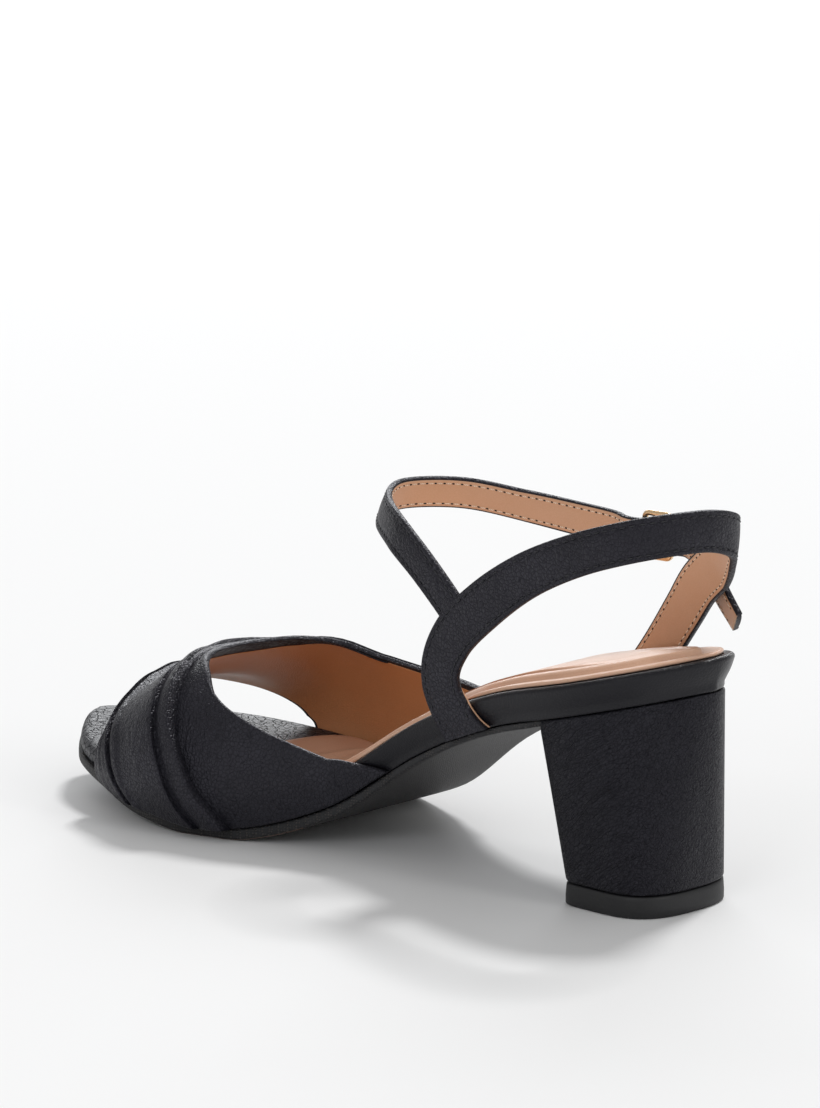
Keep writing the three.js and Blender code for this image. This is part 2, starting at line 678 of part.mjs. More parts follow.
function makeAnkleStraps() {
  const slingPoints = slingRows.map(strapPoint);
  const slingWidths = slingRows.map((row) => row.width * slingWidth);
  const sling = ribbonBody(slingPoints, slingWidths, slingWall, slingSteps, strapOut, footRows);

  const thread = threadRows.map((row) => inBuckle(row.run * buckleLength, 0, row.out * buckleLength));
  const overPoints = [...instepRows.map(strapPoint), ...thread, ...tailRows.map(strapPoint)];
  const overWidths = overPoints.map(() => instepWidth);
  const tailOut = (point, t) => {
    const turn = tailTwist * THREE.MathUtils.smoothstep(t, tailStart, 1);
    return t < tailStart ? strapOut(point) : new THREE.Vector3(-Math.sin(turn), -Math.cos(turn), 0);
  };
  const over = ribbonBody(overPoints, overWidths, instepWall, instepSteps, tailOut);

  const branchPoints = [
    ...branchRows.map(strapPoint),
    inBuckle(rearBar - buckleLength / 2, 0, 0),
    inBuckle(rearBar - loopHole - instepWall / 4, 0, 0),
  ];
  const branchWidths = branchPoints.map(() => instepWidth);
  const branch = ribbonBody(branchPoints, branchWidths, instepWall, branchSteps, strapOut);
  const pipe = (radius, length) => (
    toSolid(seated(new THREE.CylinderGeometry(radius, radius, length, loopSides), rearBar, 0, 0))
  );
  const slotWidth = 2 * (prongRadius + pieceGap);
  const slot = seated(new THREE.BoxGeometry(2 * loopOuter + 1, slotWidth, 2 * loopOuter + 1), rearBar, 0, 0);
  const looped = toSolid(branch).add(pipe(loopOuter, instepWidth)).subtract(pipe(loopHole, 2 * instepWidth));
  const held = looped.subtract(toSolid(slot));
  const pierced = toSolid(over).subtract(toSolid(prongRod(prongRadius + pieceGap)));
  return toGeometry(toSolid(sling).add(held).add(pierced));
}

const blackLeather = { color: 0x17171b, roughness: 0.5, metalness: 0 };
const smoothBlack = { color: 0x141417, roughness: 0.38, metalness: 0 };
const soleBlack = { color: 0x1a1a1c, roughness: 0.62, metalness: 0 };
const tanLining = { color: 0xd9a67f, roughness: 0.55, metalness: 0 };
const gold = { color: 0xc9a357, roughness: 0.25, metalness: 1 };

function piece(name, geometry, look) {
  const mesh = new THREE.Mesh(geometry, new THREE.MeshStandardMaterial(look));
  mesh.name = name;
  return mesh;
}

const sandal = new THREE.Group();
sandal.add(piece('outsole', makeOutsole(), soleBlack));
sandal.add(piece('footbed', makeFootbed(), smoothBlack));
sandal.add(piece('sock', makeSock(), tanLining));
sandal.add(piece('heel_block', makeHeelBlock(), blackLeather));
sandal.add(piece('top_lift', makeTopLift(), soleBlack));
sandal.add(piece('vamp', makeVamp(), blackLeather));
sandal.add(piece('ankle_straps', makeAnkleStraps(), blackLeather));
sandal.add(piece('buckle_frame', makeBuckleFrame(), gold));
sandal.add(piece('buckle_prong', makeProng(), gold));

// The origin is the middle of the top lift's face on the floor.
sandal.position.x = -(heelTipBack + heelTipLength / 2);
sandal.position.y = -midY(heelTipBack + heelTipLength / 2);

export default sandal;
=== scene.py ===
import math

import bmesh
import bpy
from mathutils import Matrix, Vector, noise


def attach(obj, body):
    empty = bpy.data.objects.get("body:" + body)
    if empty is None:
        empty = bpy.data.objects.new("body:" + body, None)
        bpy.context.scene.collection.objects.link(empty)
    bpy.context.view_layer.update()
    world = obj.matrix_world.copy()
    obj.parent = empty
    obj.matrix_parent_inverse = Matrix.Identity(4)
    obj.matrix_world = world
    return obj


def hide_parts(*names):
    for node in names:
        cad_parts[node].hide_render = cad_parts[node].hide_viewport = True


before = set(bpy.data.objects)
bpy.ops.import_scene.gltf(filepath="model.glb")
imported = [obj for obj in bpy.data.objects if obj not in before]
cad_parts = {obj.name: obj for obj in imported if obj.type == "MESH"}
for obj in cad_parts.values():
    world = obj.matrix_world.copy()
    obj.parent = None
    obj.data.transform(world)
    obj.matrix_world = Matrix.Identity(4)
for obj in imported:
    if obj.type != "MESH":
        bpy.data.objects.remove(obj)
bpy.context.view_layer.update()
print("stage: frame loaded")

# Lengths are in millimetres and become metres when a point is placed.
# X runs from the heel to the toe, Y to the inner side of the foot, Z up from the floor.
shoe = {
    "length": 228,
    "ballWidth": 80.5,
    "heelLift": 58.5,
    "toeSpring": 11.4,
    "rimHeight": 9.3,
    "treadTop": 3.0,
    "gap": 0.3,
    "frontSquare": 24,
    "shift": (-22.6, -0.336),
}

outlineRows = [  # along, inner, outer
    (0, -0.012, -0.012), (0.0175, 0.128, -0.134), (0.053, 0.245, -0.238),
    (0.123, 0.332, -0.325), (0.263, 0.328, -0.339), (0.417, 0.276, -0.364),
    (0.548, 0.342, -0.434), (0.658, 0.453, -0.493), (0.754, 0.499, -0.504),
    (0.855, 0.432, -0.422), (0.93, 0.325, -0.27), (0.978, 0.184, -0.09),
    (1, 0.056, 0.056),
]
profileRows = [  # along, heel, toe, rim
    (0, 1, 0, 1), (0.13, 0.868, 0, 0.98), (0.263, 0.722, 0, 0.98),
    (0.395, 0.486, 0, 1), (0.526, 0.154, 0, 0.9), (0.658, 0, 0, 0.77),
    (0.768, 0, 0.22, 0.74), (0.877, 0, 0.61, 0.6), (1, 0, 1, 0.54),
]


def clamp(value, low=0.0, high=1.0):
    return min(max(value, low), high)


def mix(a, b, share):
    return a + (b - a) * share


def smooth(value, low, high):
    t = clamp((value - low) / (high - low))
    return t * t * (3 - 2 * t)


def easeAlong(x, low, high):
    return smooth(x / shoe["length"], low, high)


def curveThrough(rows, column, places=None):
    # a smooth curve through one column of a table, read at any place on its first column
    at = places or [row[0] for row in rows]
    values = [row[column] for row in rows]
    last = len(at) - 1
    chords = [(values[i + 1] - values[i]) / (at[i + 1] - at[i]) for i in range(last)]
    slopes = [chords[0]]
    for i in range(1, last):
        before, after = at[i] - at[i - 1], at[i + 1] - at[i]
        slopes.append((chords[i - 1] * after + chords[i] * before) / (before + after))
    slopes.append(chords[-1])
    rising = 1 if at[-1] > at[0] else -1

    def read(place):
        i = 0
        while i < last - 1 and (place - at[i + 1]) * rising > 0:
            i += 1
        span = at[i + 1] - at[i]
        t = clamp((place - at[i]) / span)
        t2, t3 = t * t, t * t * t
        return (
            values[i] * (2 * t3 - 3 * t2 + 1)
            + slopes[i] * span * (t3 - 2 * t2 + t)
            + values[i + 1] * (3 * t2 - 2 * t3)
            + slopes[i + 1] * span * (t3 - t2)
        )

    return read


def endAngle(along):
    return math.acos(1 - 2 * clamp(along))


outlineAngles = [endAngle(row[0]) for row in outlineRows]
innerEdge = curveThrough(outlineRows, 1, outlineAngles)
outerEdge = curveThrough(outlineRows, 2, outlineAngles)
heelShare = curveThrough(profileRows, 1)
toeShare = curveThrough(profileRows, 2)
rimShare = curveThrough(profileRows, 3)


def rimY(x, side):
    edge = innerEdge if side > 0 else outerEdge
    return shoe["ballWidth"] * edge(endAngle(x / shoe["length"]))


def midY(x):
    return (rimY(x, 1) + rimY(x, -1)) / 2


def feather(x):
    along = x / shoe["length"]
    return shoe["treadTop"] + shoe["heelLift"] * heelShare(along) + shoe["toeSpring"] * toeShare(along)


def rimTop(x):
    return feather(x) + shoe["rimHeight"] * rimShare(x / shoe["length"])


def inMetres(point):
    return Vector((point[0] + shoe["shift"][0], point[1] + shoe["shift"][1], point[2])) / 1000


def skinRings(rings, wrapped=True, capped=False, looped=False):
    # a grid is laid over the rings of points, and its seam is welded
    count = len(rings[0])
    columns = count + (1 if wrapped else 0)
    rows = rings + ([rings[0]] if looped else [])
    bm = bmesh.new()
    bm.loops.layers.uv.new("UVMap")
    bmesh.ops.create_grid(bm, x_segments=columns - 1, y_segments=len(rows) - 1, size=0.5, calc_uvs=True)
    bm.verts.ensure_lookup_table()
    for j, ring in enumerate(rows):
        for i in range(columns):
            bm.verts[j * columns + i].co = inMetres(ring[i % count])
    bmesh.ops.remove_doubles(bm, verts=bm.verts, dist=2e-6)
    if capped:
        bmesh.ops.holes_fill(bm, edges=[e for e in bm.edges if e.is_boundary], sides=0)
    bmesh.ops.dissolve_degenerate(bm, dist=1e-6, edges=bm.edges)
    bmesh.ops.recalc_face_normals(bm, faces=bm.faces)
    return bm


def finishPiece(bm, name, materials, nodes=(), sharpAngle=None):
    mesh = bpy.data.meshes.new(name)
    for material in materials:
        mesh.materials.append(material)
    bm.to_mesh(mesh)
    bm.free()
    for polygon in mesh.polygons:
        polygon.use_smooth = True
    if sharpAngle:
        mesh.set_sharp_from_angle(angle=math.radians(sharpAngle))
    piece = bpy.data.objects.new(name, mesh)
    bpy.context.scene.collection.objects.link(piece)
    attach(piece, "root")
    if nodes:
        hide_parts(*nodes)
    return piece


def skinPiece(rings, name, material, slotName, nodes=(), sharpAngle=None, **skin):
    return finishPiece(skinRings(rings, **skin), name, [material], nodes, sharpAngle)


# Shader node groups


def newGroup(name, inputs, outputs):
    tree = bpy.data.node_groups.new(name, "ShaderNodeTree")
    for label, kind, value in inputs:
        socket = tree.interface.new_socket(name=label, in_out="INPUT", socket_type="NodeSocket" + kind)
        if value is not None:
            socket.default_value = value
    for label in outputs:
        tree.interface.new_socket(name=label, in_out="OUTPUT", socket_type="NodeSocketFloat")
    return tree, tree.nodes.new("NodeGroupInput"), tree.nodes.new("NodeGroupOutput")


def mathNode(tree, operation, *values):
    node = tree.nodes.new("ShaderNodeMath")
    node.operation = operation
    for socket, value in zip(node.inputs, values):
        if isinstance(value, (int, float)):
            socket.default_value = value
        else:
            tree.links.new(value, socket)
    return node.outputs[0]


def times(tree, first, second):
    return mathNode(tree, "MULTIPLY", first, second)


def plus(tree, first, second):
    return mathNode(tree, "ADD", first, second)


def noiseNode(tree, vector, scale, detail=2.0):
    node = tree.nodes.new("ShaderNodeTexNoise")
    node.inputs["Scale"].default_value = scale
    node.inputs["Detail"].default_value = detail
    tree.links.new(vector, node.inputs["Vector"])
    return node.outputs["Fac"]


def rangeNode(tree, value, fromLow, fromHigh, toLow=0.0, toHigh=1.0):
    node = tree.nodes.new("ShaderNodeMapRange")
    node.interpolation_type = "SMOOTHSTEP"
    tree.links.new(value, node.inputs["Value"])
    limits = {"From Min": fromLow, "From Max": fromHigh, "To Min": toLow, "To Max": toHigh}
    for key, number in limits.items():
        node.inputs[key].default_value = number
    return node.outputs["Result"]


def makeGrainGroup():
    inputs = [("Vector", "Vector", None), ("Scale", "Float", 900.0), ("Wander", "Float", 0.0006)]
    tree, source, out = newGroup("pebbleGrain", inputs, ["Height", "Crack"])
    drift = tree.nodes.new("ShaderNodeTexNoise")
    drift.inputs["Detail"].default_value = 2
    tree.links.new(source.outputs["Vector"], drift.inputs["Vector"])
    tree.links.new(times(tree, source.outputs["Scale"], 0.45), drift.inputs["Scale"])
    centred = tree.nodes.new("ShaderNodeVectorMath")
    centred.operation = "SUBTRACT"
    centred.inputs[1].default_value = (0.5, 0.5, 0.5)
    tree.links.new(drift.outputs["Color"], centred.inputs[0])
    scaled = tree.nodes.new("ShaderNodeVectorMath")
    scaled.operation = "SCALE"
    tree.links.new(centred.outputs[0], scaled.inputs[0])
    tree.links.new(source.outputs["Wander"], scaled.inputs["Scale"])
    moved = tree.nodes.new("ShaderNodeVectorMath")
    tree.links.new(source.outputs["Vector"], moved.inputs[0])
    tree.links.new(scaled.outputs[0], moved.inputs[1])
    edges = tree.nodes.new("ShaderNodeTexVoronoi")
    edges.feature = "DISTANCE_TO_EDGE"
    pebbles = tree.nodes.new("ShaderNodeTexVoronoi")
    pebbles.feature = "SMOOTH_F1"
    pebbles.inputs["Smoothness"].default_value = 0.6
    for node, factor in ((edges, 1.0), (pebbles, 1.8)):
        tree.links.new(moved.outputs[0], node.inputs["Vector"])
        tree.links.new(times(tree, source.outputs["Scale"], factor), node.inputs["Scale"])
    cell = times(tree, rangeNode(tree, edges.outputs["Distance"], 0.0, 0.22), 0.82)
    fine = times(tree, rangeNode(tree, pebbles.outputs["Distance"], 0.0, 0.8, 1.0, 0.0), 0.18)
    tree.links.new(plus(tree, cell, fine), out.inputs["Height"])
    tree.links.new(rangeNode(tree, edges.outputs["Distance"], 0.0, 0.1, 1.0, 0.0), out.inputs["Crack"])
    return tree


def makeCreaseGroup():
    inputs = [("Vector", "Vector", None), ("Scale", "Float", 160.0), ("Bend", "Float", 1.4)]
    tree, source, out = newGroup("softCreases", inputs, ["Height"])
    folds = tree.nodes.new("ShaderNodeTexNoise")
    folds.inputs["Detail"].default_value = 3
    folds.inputs["Roughness"].default_value = 0.55
    tree.links.new(source.outputs["Vector"], folds.inputs["Vector"])
    tree.links.new(source.outputs["Scale"], folds.inputs["Scale"])
    tree.links.new(source.outputs["Bend"], folds.inputs["Distortion"])
    ridge = mathNode(tree, "ABSOLUTE", mathNode(tree, "SUBTRACT", folds.outputs["Fac"], 0.5))
    tree.links.new(rangeNode(tree, ridge, 0.0, 0.16), out.inputs["Height"])
    return tree


grainGroup = makeGrainGroup()
creaseGroup = makeCreaseGroup()


def placeGroup(tree, group, vector, **values):
    node = tree.nodes.new("ShaderNodeGroup")
    node.node_tree = group
    tree.links.new(vector, node.inputs["Vector"])
    for key, value in values.items():
        node.inputs[key].default_value = value
    return node


def newMaterial(name, colour, roughness, metallic=0.0):
    material = bpy.data.materials.new(name)
    material.use_nodes = True
    tree = material.node_tree
    shader = tree.nodes["Principled BSDF"]
    shader.inputs["Base Color"].default_value = (*colour, 1)
    shader.inputs["Roughness"].default_value = roughness
    shader.inputs["Metallic"].default_value = metallic
    return material, tree, shader


def objectVector(tree, scale=(1, 1, 1), turn=(0, 0, 0)):
    where = tree.nodes.new("ShaderNodeTexCoord")
    mapping = tree.nodes.new("ShaderNodeMapping")
    mapping.vector_type = "TEXTURE"
    mapping.inputs["Scale"].default_value = tuple(1 / share for share in scale)
    mapping.inputs["Rotation"].default_value = turn
    tree.links.new(where.outputs["Object"], mapping.inputs["Vector"])
    return mapping.outputs["Vector"]


def bumpChain(tree, shader, heights):
    normal = None
    for height, strength, distance in heights:
        node = tree.nodes.new("ShaderNodeBump")
        node.inputs["Strength"].default_value = strength
        node.inputs["Distance"].default_value = distance
        tree.links.new(height, node.inputs["Height"])
        if normal is not None:
            tree.links.new(normal, node.inputs["Normal"])
        normal = node.outputs["Normal"]
    tree.links.new(normal, shader.inputs["Normal"])


def tintBy(tree, shader, mask, dark, light):
    blend = tree.nodes.new("ShaderNodeMix")
    blend.data_type = "RGBA"
    blend.inputs["A"].default_value = (*dark, 1)
    blend.inputs["B"].default_value = (*light, 1)
    tree.links.new(mask, blend.inputs["Factor"])
    tree.links.new(blend.outputs["Result"], shader.inputs["Base Color"])


leather = {
    "black": (0.0068, 0.0066, 0.0096),
    "wornAndLitPebbleTops": (0.018, 0.0175, 0.0235),
    "roughness": 0.4,
    "specular": 0.38,
    "sheen": (0.9, 0.88, 1.0),
    "grain": 900.0,
    "grainDepth": 0.00012,
    "creaseDepth": 0.00019,
    "creaseScale": 130.0,
    "creaseStretch": (2.4, 1.0, 1.0),
    "creaseTurn": (0.0, 0.0, 0.35),
}


def makeLeather(name, look, stretch=(1, 1, 1), turn=(0, 0, 0)):
    material, tree, shader = newMaterial(name, look["black"], look["roughness"])
    shader.inputs["Specular Tint"].default_value = (*look["sheen"], 1)
    vector = objectVector(tree, stretch, turn)
    grain = placeGroup(tree, grainGroup, vector, Scale=look["grain"], Wander=0.0006)
    gloss = times(tree, grain.outputs["Crack"], -0.3 * look["specular"])
    tree.links.new(plus(tree, gloss, look["specular"]), shader.inputs["Specular IOR Level"])
    folds = objectVector(tree, look["creaseStretch"], look["creaseTurn"])
    crease = placeGroup(tree, creaseGroup, folds, Scale=look["creaseScale"], Bend=0.9)
    wear = noiseNode(tree, objectVector(tree), 70)
    # painted shade and light: the cracks between pebbles keep the dark colour, and the pebble tops take the
    # paler colour where the wear noise is high, partly real wear and partly painted light on the tops
    shade = times(tree, rangeNode(tree, wear, 0.3, 0.75), grain.outputs["Height"])
    tintBy(tree, shader, shade, look["black"], look["wornAndLitPebbleTops"])
    rough = plus(tree, times(tree, grain.outputs["Crack"], 0.14), look["roughness"] - 0.04)
    tree.links.new(plus(tree, rough, times(tree, wear, 0.1)), shader.inputs["Roughness"])
    bumpChain(tree, shader, [
        (crease.outputs["Height"], 0.8, look["creaseDepth"]),
        (grain.outputs["Height"], 0.9, look["grainDepth"]),
    ])
    return material


bandLeather = makeLeather("bandLeather", leather)
heelLook = {
    **leather,
    "black": (0.0036, 0.0036, 0.0058),
    "wornAndLitPebbleTops": (0.0095, 0.0095, 0.013),
    "specular": 0.32,
    "creaseTurn": (0.0, -0.9, 0.0),
    "creaseStretch": (3.0, 3.0, 0.5),
    "creaseScale": 170.0,
    "creaseDepth": 0.0004,
    "grainDepth": 0.00011,
}
heelLeather = makeLeather("heelLeather", heelLook, stretch=(1.5, 1.5, 0.6), turn=(0.0, -0.9, 0.0))


def makeRimLeather():
    material, tree, shader = newMaterial("rimLeather", leather["black"], 0.33)
    vector = objectVector(tree)
    fine = placeGroup(tree, grainGroup, vector, Scale=1100.0, Wander=0.0005)
    coarse = placeGroup(tree, grainGroup, vector, Scale=460.0, Wander=0.0012)
    split = tree.nodes.new("ShaderNodeSeparateXYZ")
    tree.links.new(vector, split.inputs[0])
    toe = rangeNode(tree, split.outputs["X"], 0.115, 0.135)
    blend = tree.nodes.new("ShaderNodeMix")
    tree.links.new(toe, blend.inputs["Factor"])
    tree.links.new(times(tree, fine.outputs["Height"], 0.28), blend.inputs["A"])
    flat = mathNode(tree, "SUBTRACT", 1.0, coarse.outputs["Crack"])
    pebbled = plus(tree, flat, times(tree, fine.outputs["Height"], 0.15))
    tree.links.new(times(tree, pebbled, 0.9), blend.inputs["B"])
    # painted light: at the toe the pebble tops are painted light grey, as if lit through the toe opening,
    # while the cracks between them keep the black
    tintBy(tree, shader, times(tree, toe, flat), leather["black"], (0.04, 0.04, 0.046))
    shine = plus(tree, times(tree, coarse.outputs["Crack"], -0.42), 0.17)
    tree.links.new(plus(tree, times(tree, toe, shine), 0.28), shader.inputs["Specular IOR Level"])
    tree.links.new(rangeNode(tree, split.outputs["X"], 0.1, 0.14, 0.34, 0.46), shader.inputs["Roughness"])
    bumpChain(tree, shader, [(blend.outputs["Result"], 0.9, 0.0002)])
    return material


def makeSoleMaterial():
    material, tree, shader = newMaterial("soleRubber", (0.012, 0.012, 0.013), 0.6)
    dots = tree.nodes.new("ShaderNodeTexVoronoi")
    dots.inputs["Scale"].default_value = 1150
    dots.inputs["Randomness"].default_value = 0.25
    tree.links.new(objectVector(tree), dots.inputs["Vector"])
    knob = rangeNode(tree, dots.outputs["Distance"], 0.15, 0.5, 1.0, 0.0)
    tintBy(tree, shader, knob, (0.009, 0.009, 0.011), (0.05, 0.045, 0.042))
    bumpChain(tree, shader, [(knob, 0.8, 0.00025)])
    return material


def makeEdgeMaterial():
    material, tree, shader = newMaterial("soleEdge", (0.16, 0.1, 0.075), 0.6)
    grain = placeGroup(tree, grainGroup, objectVector(tree), Scale=1500.0, Wander=0.0004)
    tintBy(tree, shader, grain.outputs["Height"], (0.09, 0.058, 0.045), (0.2, 0.13, 0.1))
    bumpChain(tree, shader, [(grain.outputs["Height"], 0.4, 0.0001)])
    return material


def makeLiftMaterial():
    material, tree, shader = newMaterial("liftRubber", (0.009, 0.009, 0.0105), 0.52)
    speck = noiseNode(tree, objectVector(tree), 1600)
    tintBy(tree, shader, speck, (0.0065, 0.0065, 0.0075), (0.012, 0.012, 0.0135))
    bumpChain(tree, shader, [(speck, 0.35, 0.00012)])
    return material


def makeTanMaterial(name, colour, pale, roughness, grainScale, depth):
    material, tree, shader = newMaterial(name, colour, roughness)
    vector = objectVector(tree)
    grain = placeGroup(tree, grainGroup, vector, Scale=grainScale, Wander=0.0005)
    cloud = times(tree, noiseNode(tree, vector, 60, 4), 0.7)
    mask = plus(tree, cloud, times(tree, grain.outputs["Height"], 0.3))
    tintBy(tree, shader, mask, colour, pale)
    bumpChain(tree, shader, [(grain.outputs["Height"], 0.5, depth)])
    return material


def makeGold():
    material, tree, shader = newMaterial("buckleGold", (0.86, 0.6, 0.34), 0.2, 1.0)
    haze = noiseNode(tree, objectVector(tree), 900)
    tree.links.new(rangeNode(tree, haze, 0.3, 0.7, 0.16, 0.26), shader.inputs["Roughness"])
    tintBy(tree, shader, haze, (0.82, 0.56, 0.3), (0.9, 0.65, 0.4))
    bumpChain(tree, shader, [(haze, 0.1, 0.00005)])
    return material


def makeThread(name, colour):
    material, tree, shader = newMaterial(name, colour, 0.55)
    twist = tree.nodes.new("ShaderNodeTexWave")
    twist.bands_direction = "DIAGONAL"
    twist.inputs["Scale"].default_value = 900
    tree.links.new(objectVector(tree), twist.inputs["Vector"])
    dark, light = ([c * share for c in colour] for share in (0.7, 1.25))
    tintBy(tree, shader, twist.outputs["Fac"], dark, light)
    bumpChain(tree, shader, [(twist.outputs["Fac"], 0.5, 0.0001)])
    return material


rimLeather = makeRimLeather()
soleRubber = makeSoleMaterial()
soleEdge = makeEdgeMaterial()
liftRubber = makeLiftMaterial()
tans = {  # colour, pale colour, roughness, grain scale, grain depth
    "sockLeather": ((0.62, 0.37, 0.245), (0.72, 0.46, 0.325), 0.3, 1500.0, 0.00004),
    "liningLeather": ((0.64, 0.355, 0.205), (0.72, 0.43, 0.27), 0.48, 1300.0, 0.00006),
    # the bands' lining is a darker, more orange copy of the lining leather: painted shade and painted
    # bounced light inside the bands
    "shadedBandLining": ((0.54, 0.235, 0.095), (0.62, 0.285, 0.125), 0.45, 1300.0, 0.00005),
}
sockLeather, liningLeather, shadedBandLining = (makeTanMaterial(name, *look) for name, look in tans.items())
buckleGold = makeGold()
blackThread = makeThread("blackThread", (0.018, 0.018, 0.022))
tanThread = makeThread("tanThread", (0.86, 0.68, 0.52))
# painted shade: the needle holes are dark beads standing in for the shade inside each hole
needleHoleShade = makeThread("needleHoleShade", (0.02, 0.01, 0.006))
print("stage: materials")

# Sole pieces


def soleRing(insetAt, heightAt, steps, front=None, drawn=1.0, heelDraw=0.0, toeDraw=0.0):
    # a ring around the sole, from the back of the heel forward along the outer side
    length = shoe["length"]
    heelInset, toeInset = insetAt(0), insetAt(length)
    end = min(length - toeInset, front or length)
    rounded = end < length - toeInset
    ring = []
    for k in range(2 * steps):
        share = (1 - math.cos(math.pi * k / steps)) / 2
        side = -1 if k <= steps else 1
        x = mix(heelInset, end, share)
        place = (x - heelInset) / (length - heelInset - toeInset) * length
        half = abs(rimY(place, side) - midY(place))
        inset = insetAt(x)
        half *= 1 - inset / max(half, 2 * inset, 0.3)
        if rounded:
            half *= math.sqrt(1 - max(2 * share - 1, 0) ** shoe["frontSquare"])
        y = midY(place) + (0 if k % steps == 0 else side * half * drawn)
        x = mix(heelInset + (1 - drawn) * heelDraw, end - (1 - drawn) * toeDraw, share)
        ring.append((x, y, heightAt(x, drawn)))
    return ring


rim = {
    "steps": 110,
    "slant": 2.0,
    "toeSlant": 0.25,
    "roundHeel": 1.5,
    "roundToe": 3.0,
    "toeCrown": 0.9,
}


def slantAt(x):
    return mix(rim["slant"], rim["toeSlant"], easeAlong(x, 0.84, 0.95))


def rimRound(x):
    return mix(rim["roundHeel"], rim["roundToe"], easeAlong(x, 0.7, 0.95))


def makeFootbed():
    def crown(x, drawn):
        return rimTop(x) + rim["toeCrown"] * easeAlong(x, 0.75, 0.9) * (1 - drawn * drawn)

    def ring(insetAt, heightAt, drawn=1.0):
        return soleRing(insetAt, heightAt, rim["steps"], drawn=drawn, heelDraw=24, toeDraw=24)

    rings = []
    for drawn in (0, 0.5, 0.9, 1):
        rings.append(ring(lambda x: slantAt(x) + 0.2, lambda x, d: feather(x), drawn))
    for out, up in ((0.0, 0.15), (-0.12, 0.7), (-0.1, 1.6)):
        rings.append(ring(lambda x, o=out: slantAt(x) + o, lambda x, d, u=up: feather(x) + u))
    for share in (0.2, 0.4, 0.6, 0.8, 0.93):
        def inset(x, s=share):
            return slantAt(x) * (1 - s) - 0.25 * math.sin(math.pi * s)

        def height(x, d, s=share):
            return mix(feather(x) + 1.6, rimTop(x) - rimRound(x), s)

        rings.append(ring(inset, height))
    for angle in range(0, 91, 15):
        turn = math.radians(angle)
        rings.append(ring(
            lambda x, t=turn: rimRound(x) * (1 - math.cos(t)),
            lambda x, d, t=turn: rimTop(x) - rimRound(x) * (1 - math.sin(t)),
        ))
    for drawn in (0.97, 0.92, 0.84, 0.7, 0.5, 0.25, 0):
        rings.append(ring(rimRound, crown, drawn))
    return skinPiece(rings, "footbedRim", rimLeather, "footbed_wrap", ["footbed"])


outsole = {
    "steps": 100,
    "thickness": 3.3,
    "seat": 1.8,
    "welt": 1.5,
    "toeWelt": 0.7,
    "lineStart": 125,
    "seatDraw": 2.2,
    "seatEnd": (43, 47),
}


def makeOutsole():
    def forward(x):
        return easeAlong(x, 0.3, 0.55)

    def top(x):
        return feather(x) - shoe["gap"]

    def bottom(x):
        return max(top(x) - mix(outsole["seat"], outsole["thickness"], forward(x)), 0)

    def ring(inset, heightAt, drawn=1.0):
        # under the seat the sheet is drawn in, and the heel's cover hides its edge
        def insetAt(x):
            return slantAt(x) + inset + outsole["seatDraw"] * (1 - smooth(x, *outsole["seatEnd"]))

        points = soleRing(insetAt, heightAt, outsole["steps"], drawn=drawn, heelDraw=22, toeDraw=22)
        spread = []
        for x, y, z in points:
            middle = midY(x)
            half = max(abs(y - middle), 1)
            welt = mix(outsole["welt"], outsole["toeWelt"], easeAlong(x, 0.8, 0.92))
            if drawn == 1:
                y = middle + (y - middle) * (1 + welt * forward(x) / half)
            spread.append((x + welt * easeAlong(x, 0.88, 1) * drawn, y, z))
        return spread

    rings = [ring(1.6, lambda x, d: bottom(x), drawn) for drawn in (0, 0.4, 0.75, 0.97)]
    edgeStart = len(rings)
    for inset, up in ((0.8, 0.05), (0.3, 0.3), (0.05, 0.5), (0, 0.9)):
        rings.append(ring(inset, lambda x, d, u=up: bottom(x) + u))
    rings.append(ring(0, lambda x, d: mix(bottom(x) + 0.9, top(x), 0.6)))
    rings.append(ring(0.05, lambda x, d: top(x) - 0.05))
    rings += [ring(0.25, lambda x, d: top(x), drawn) for drawn in (1, 0.9, 0.5, 0)]
    # the pale line along the sole's lower edge
    lined = set()
    for row in range(edgeStart, edgeStart + 2):
        for point in rings[row]:
            if point[0] > outsole["lineStart"] or point[1] < 0:
                lined.add(tuple(round(c, 5) for c in inMetres(point)))
    bm = skinRings(rings)
    for face in bm.faces:
        if all(tuple(round(c, 5) for c in v.co) in lined for v in face.verts) and len(face.verts) == 4:
            face.material_index = 1
    return finishPiece(bm, "outsoleSheet", [soleRubber, soleEdge], ["outsole"])


sock = {
    "length": 177,
    "inset": 2.2,
    "steps": 90,
    "frontInset": 1.4,
    "underInset": 3,
    "padBack": 10,
    "flange": 1.1,
    "frontFlange": 0.45,
    "waistInset": 2.6,
    "rows": [  # millimetres in from the edge, height over the footbed
        (0.0, 0.0), (-0.05, 0.45), (0.25, 0.9), (0.9, 1.1), (2.2, 1.15),
        (3.6, 1.1), (4.4, 0.95), (4.9, 0.9), (5.3, 1.15), (5.7, 1.9),
        (6.3, 2.5), (7.2, 2.85), (8.4, 2.9), (9.8, 2.6), (11.5, 2.45),
        (14.0, 2.7), (18.0, 3.1), (22.0, 3.3), (26.0, 3.35),
    ],
}


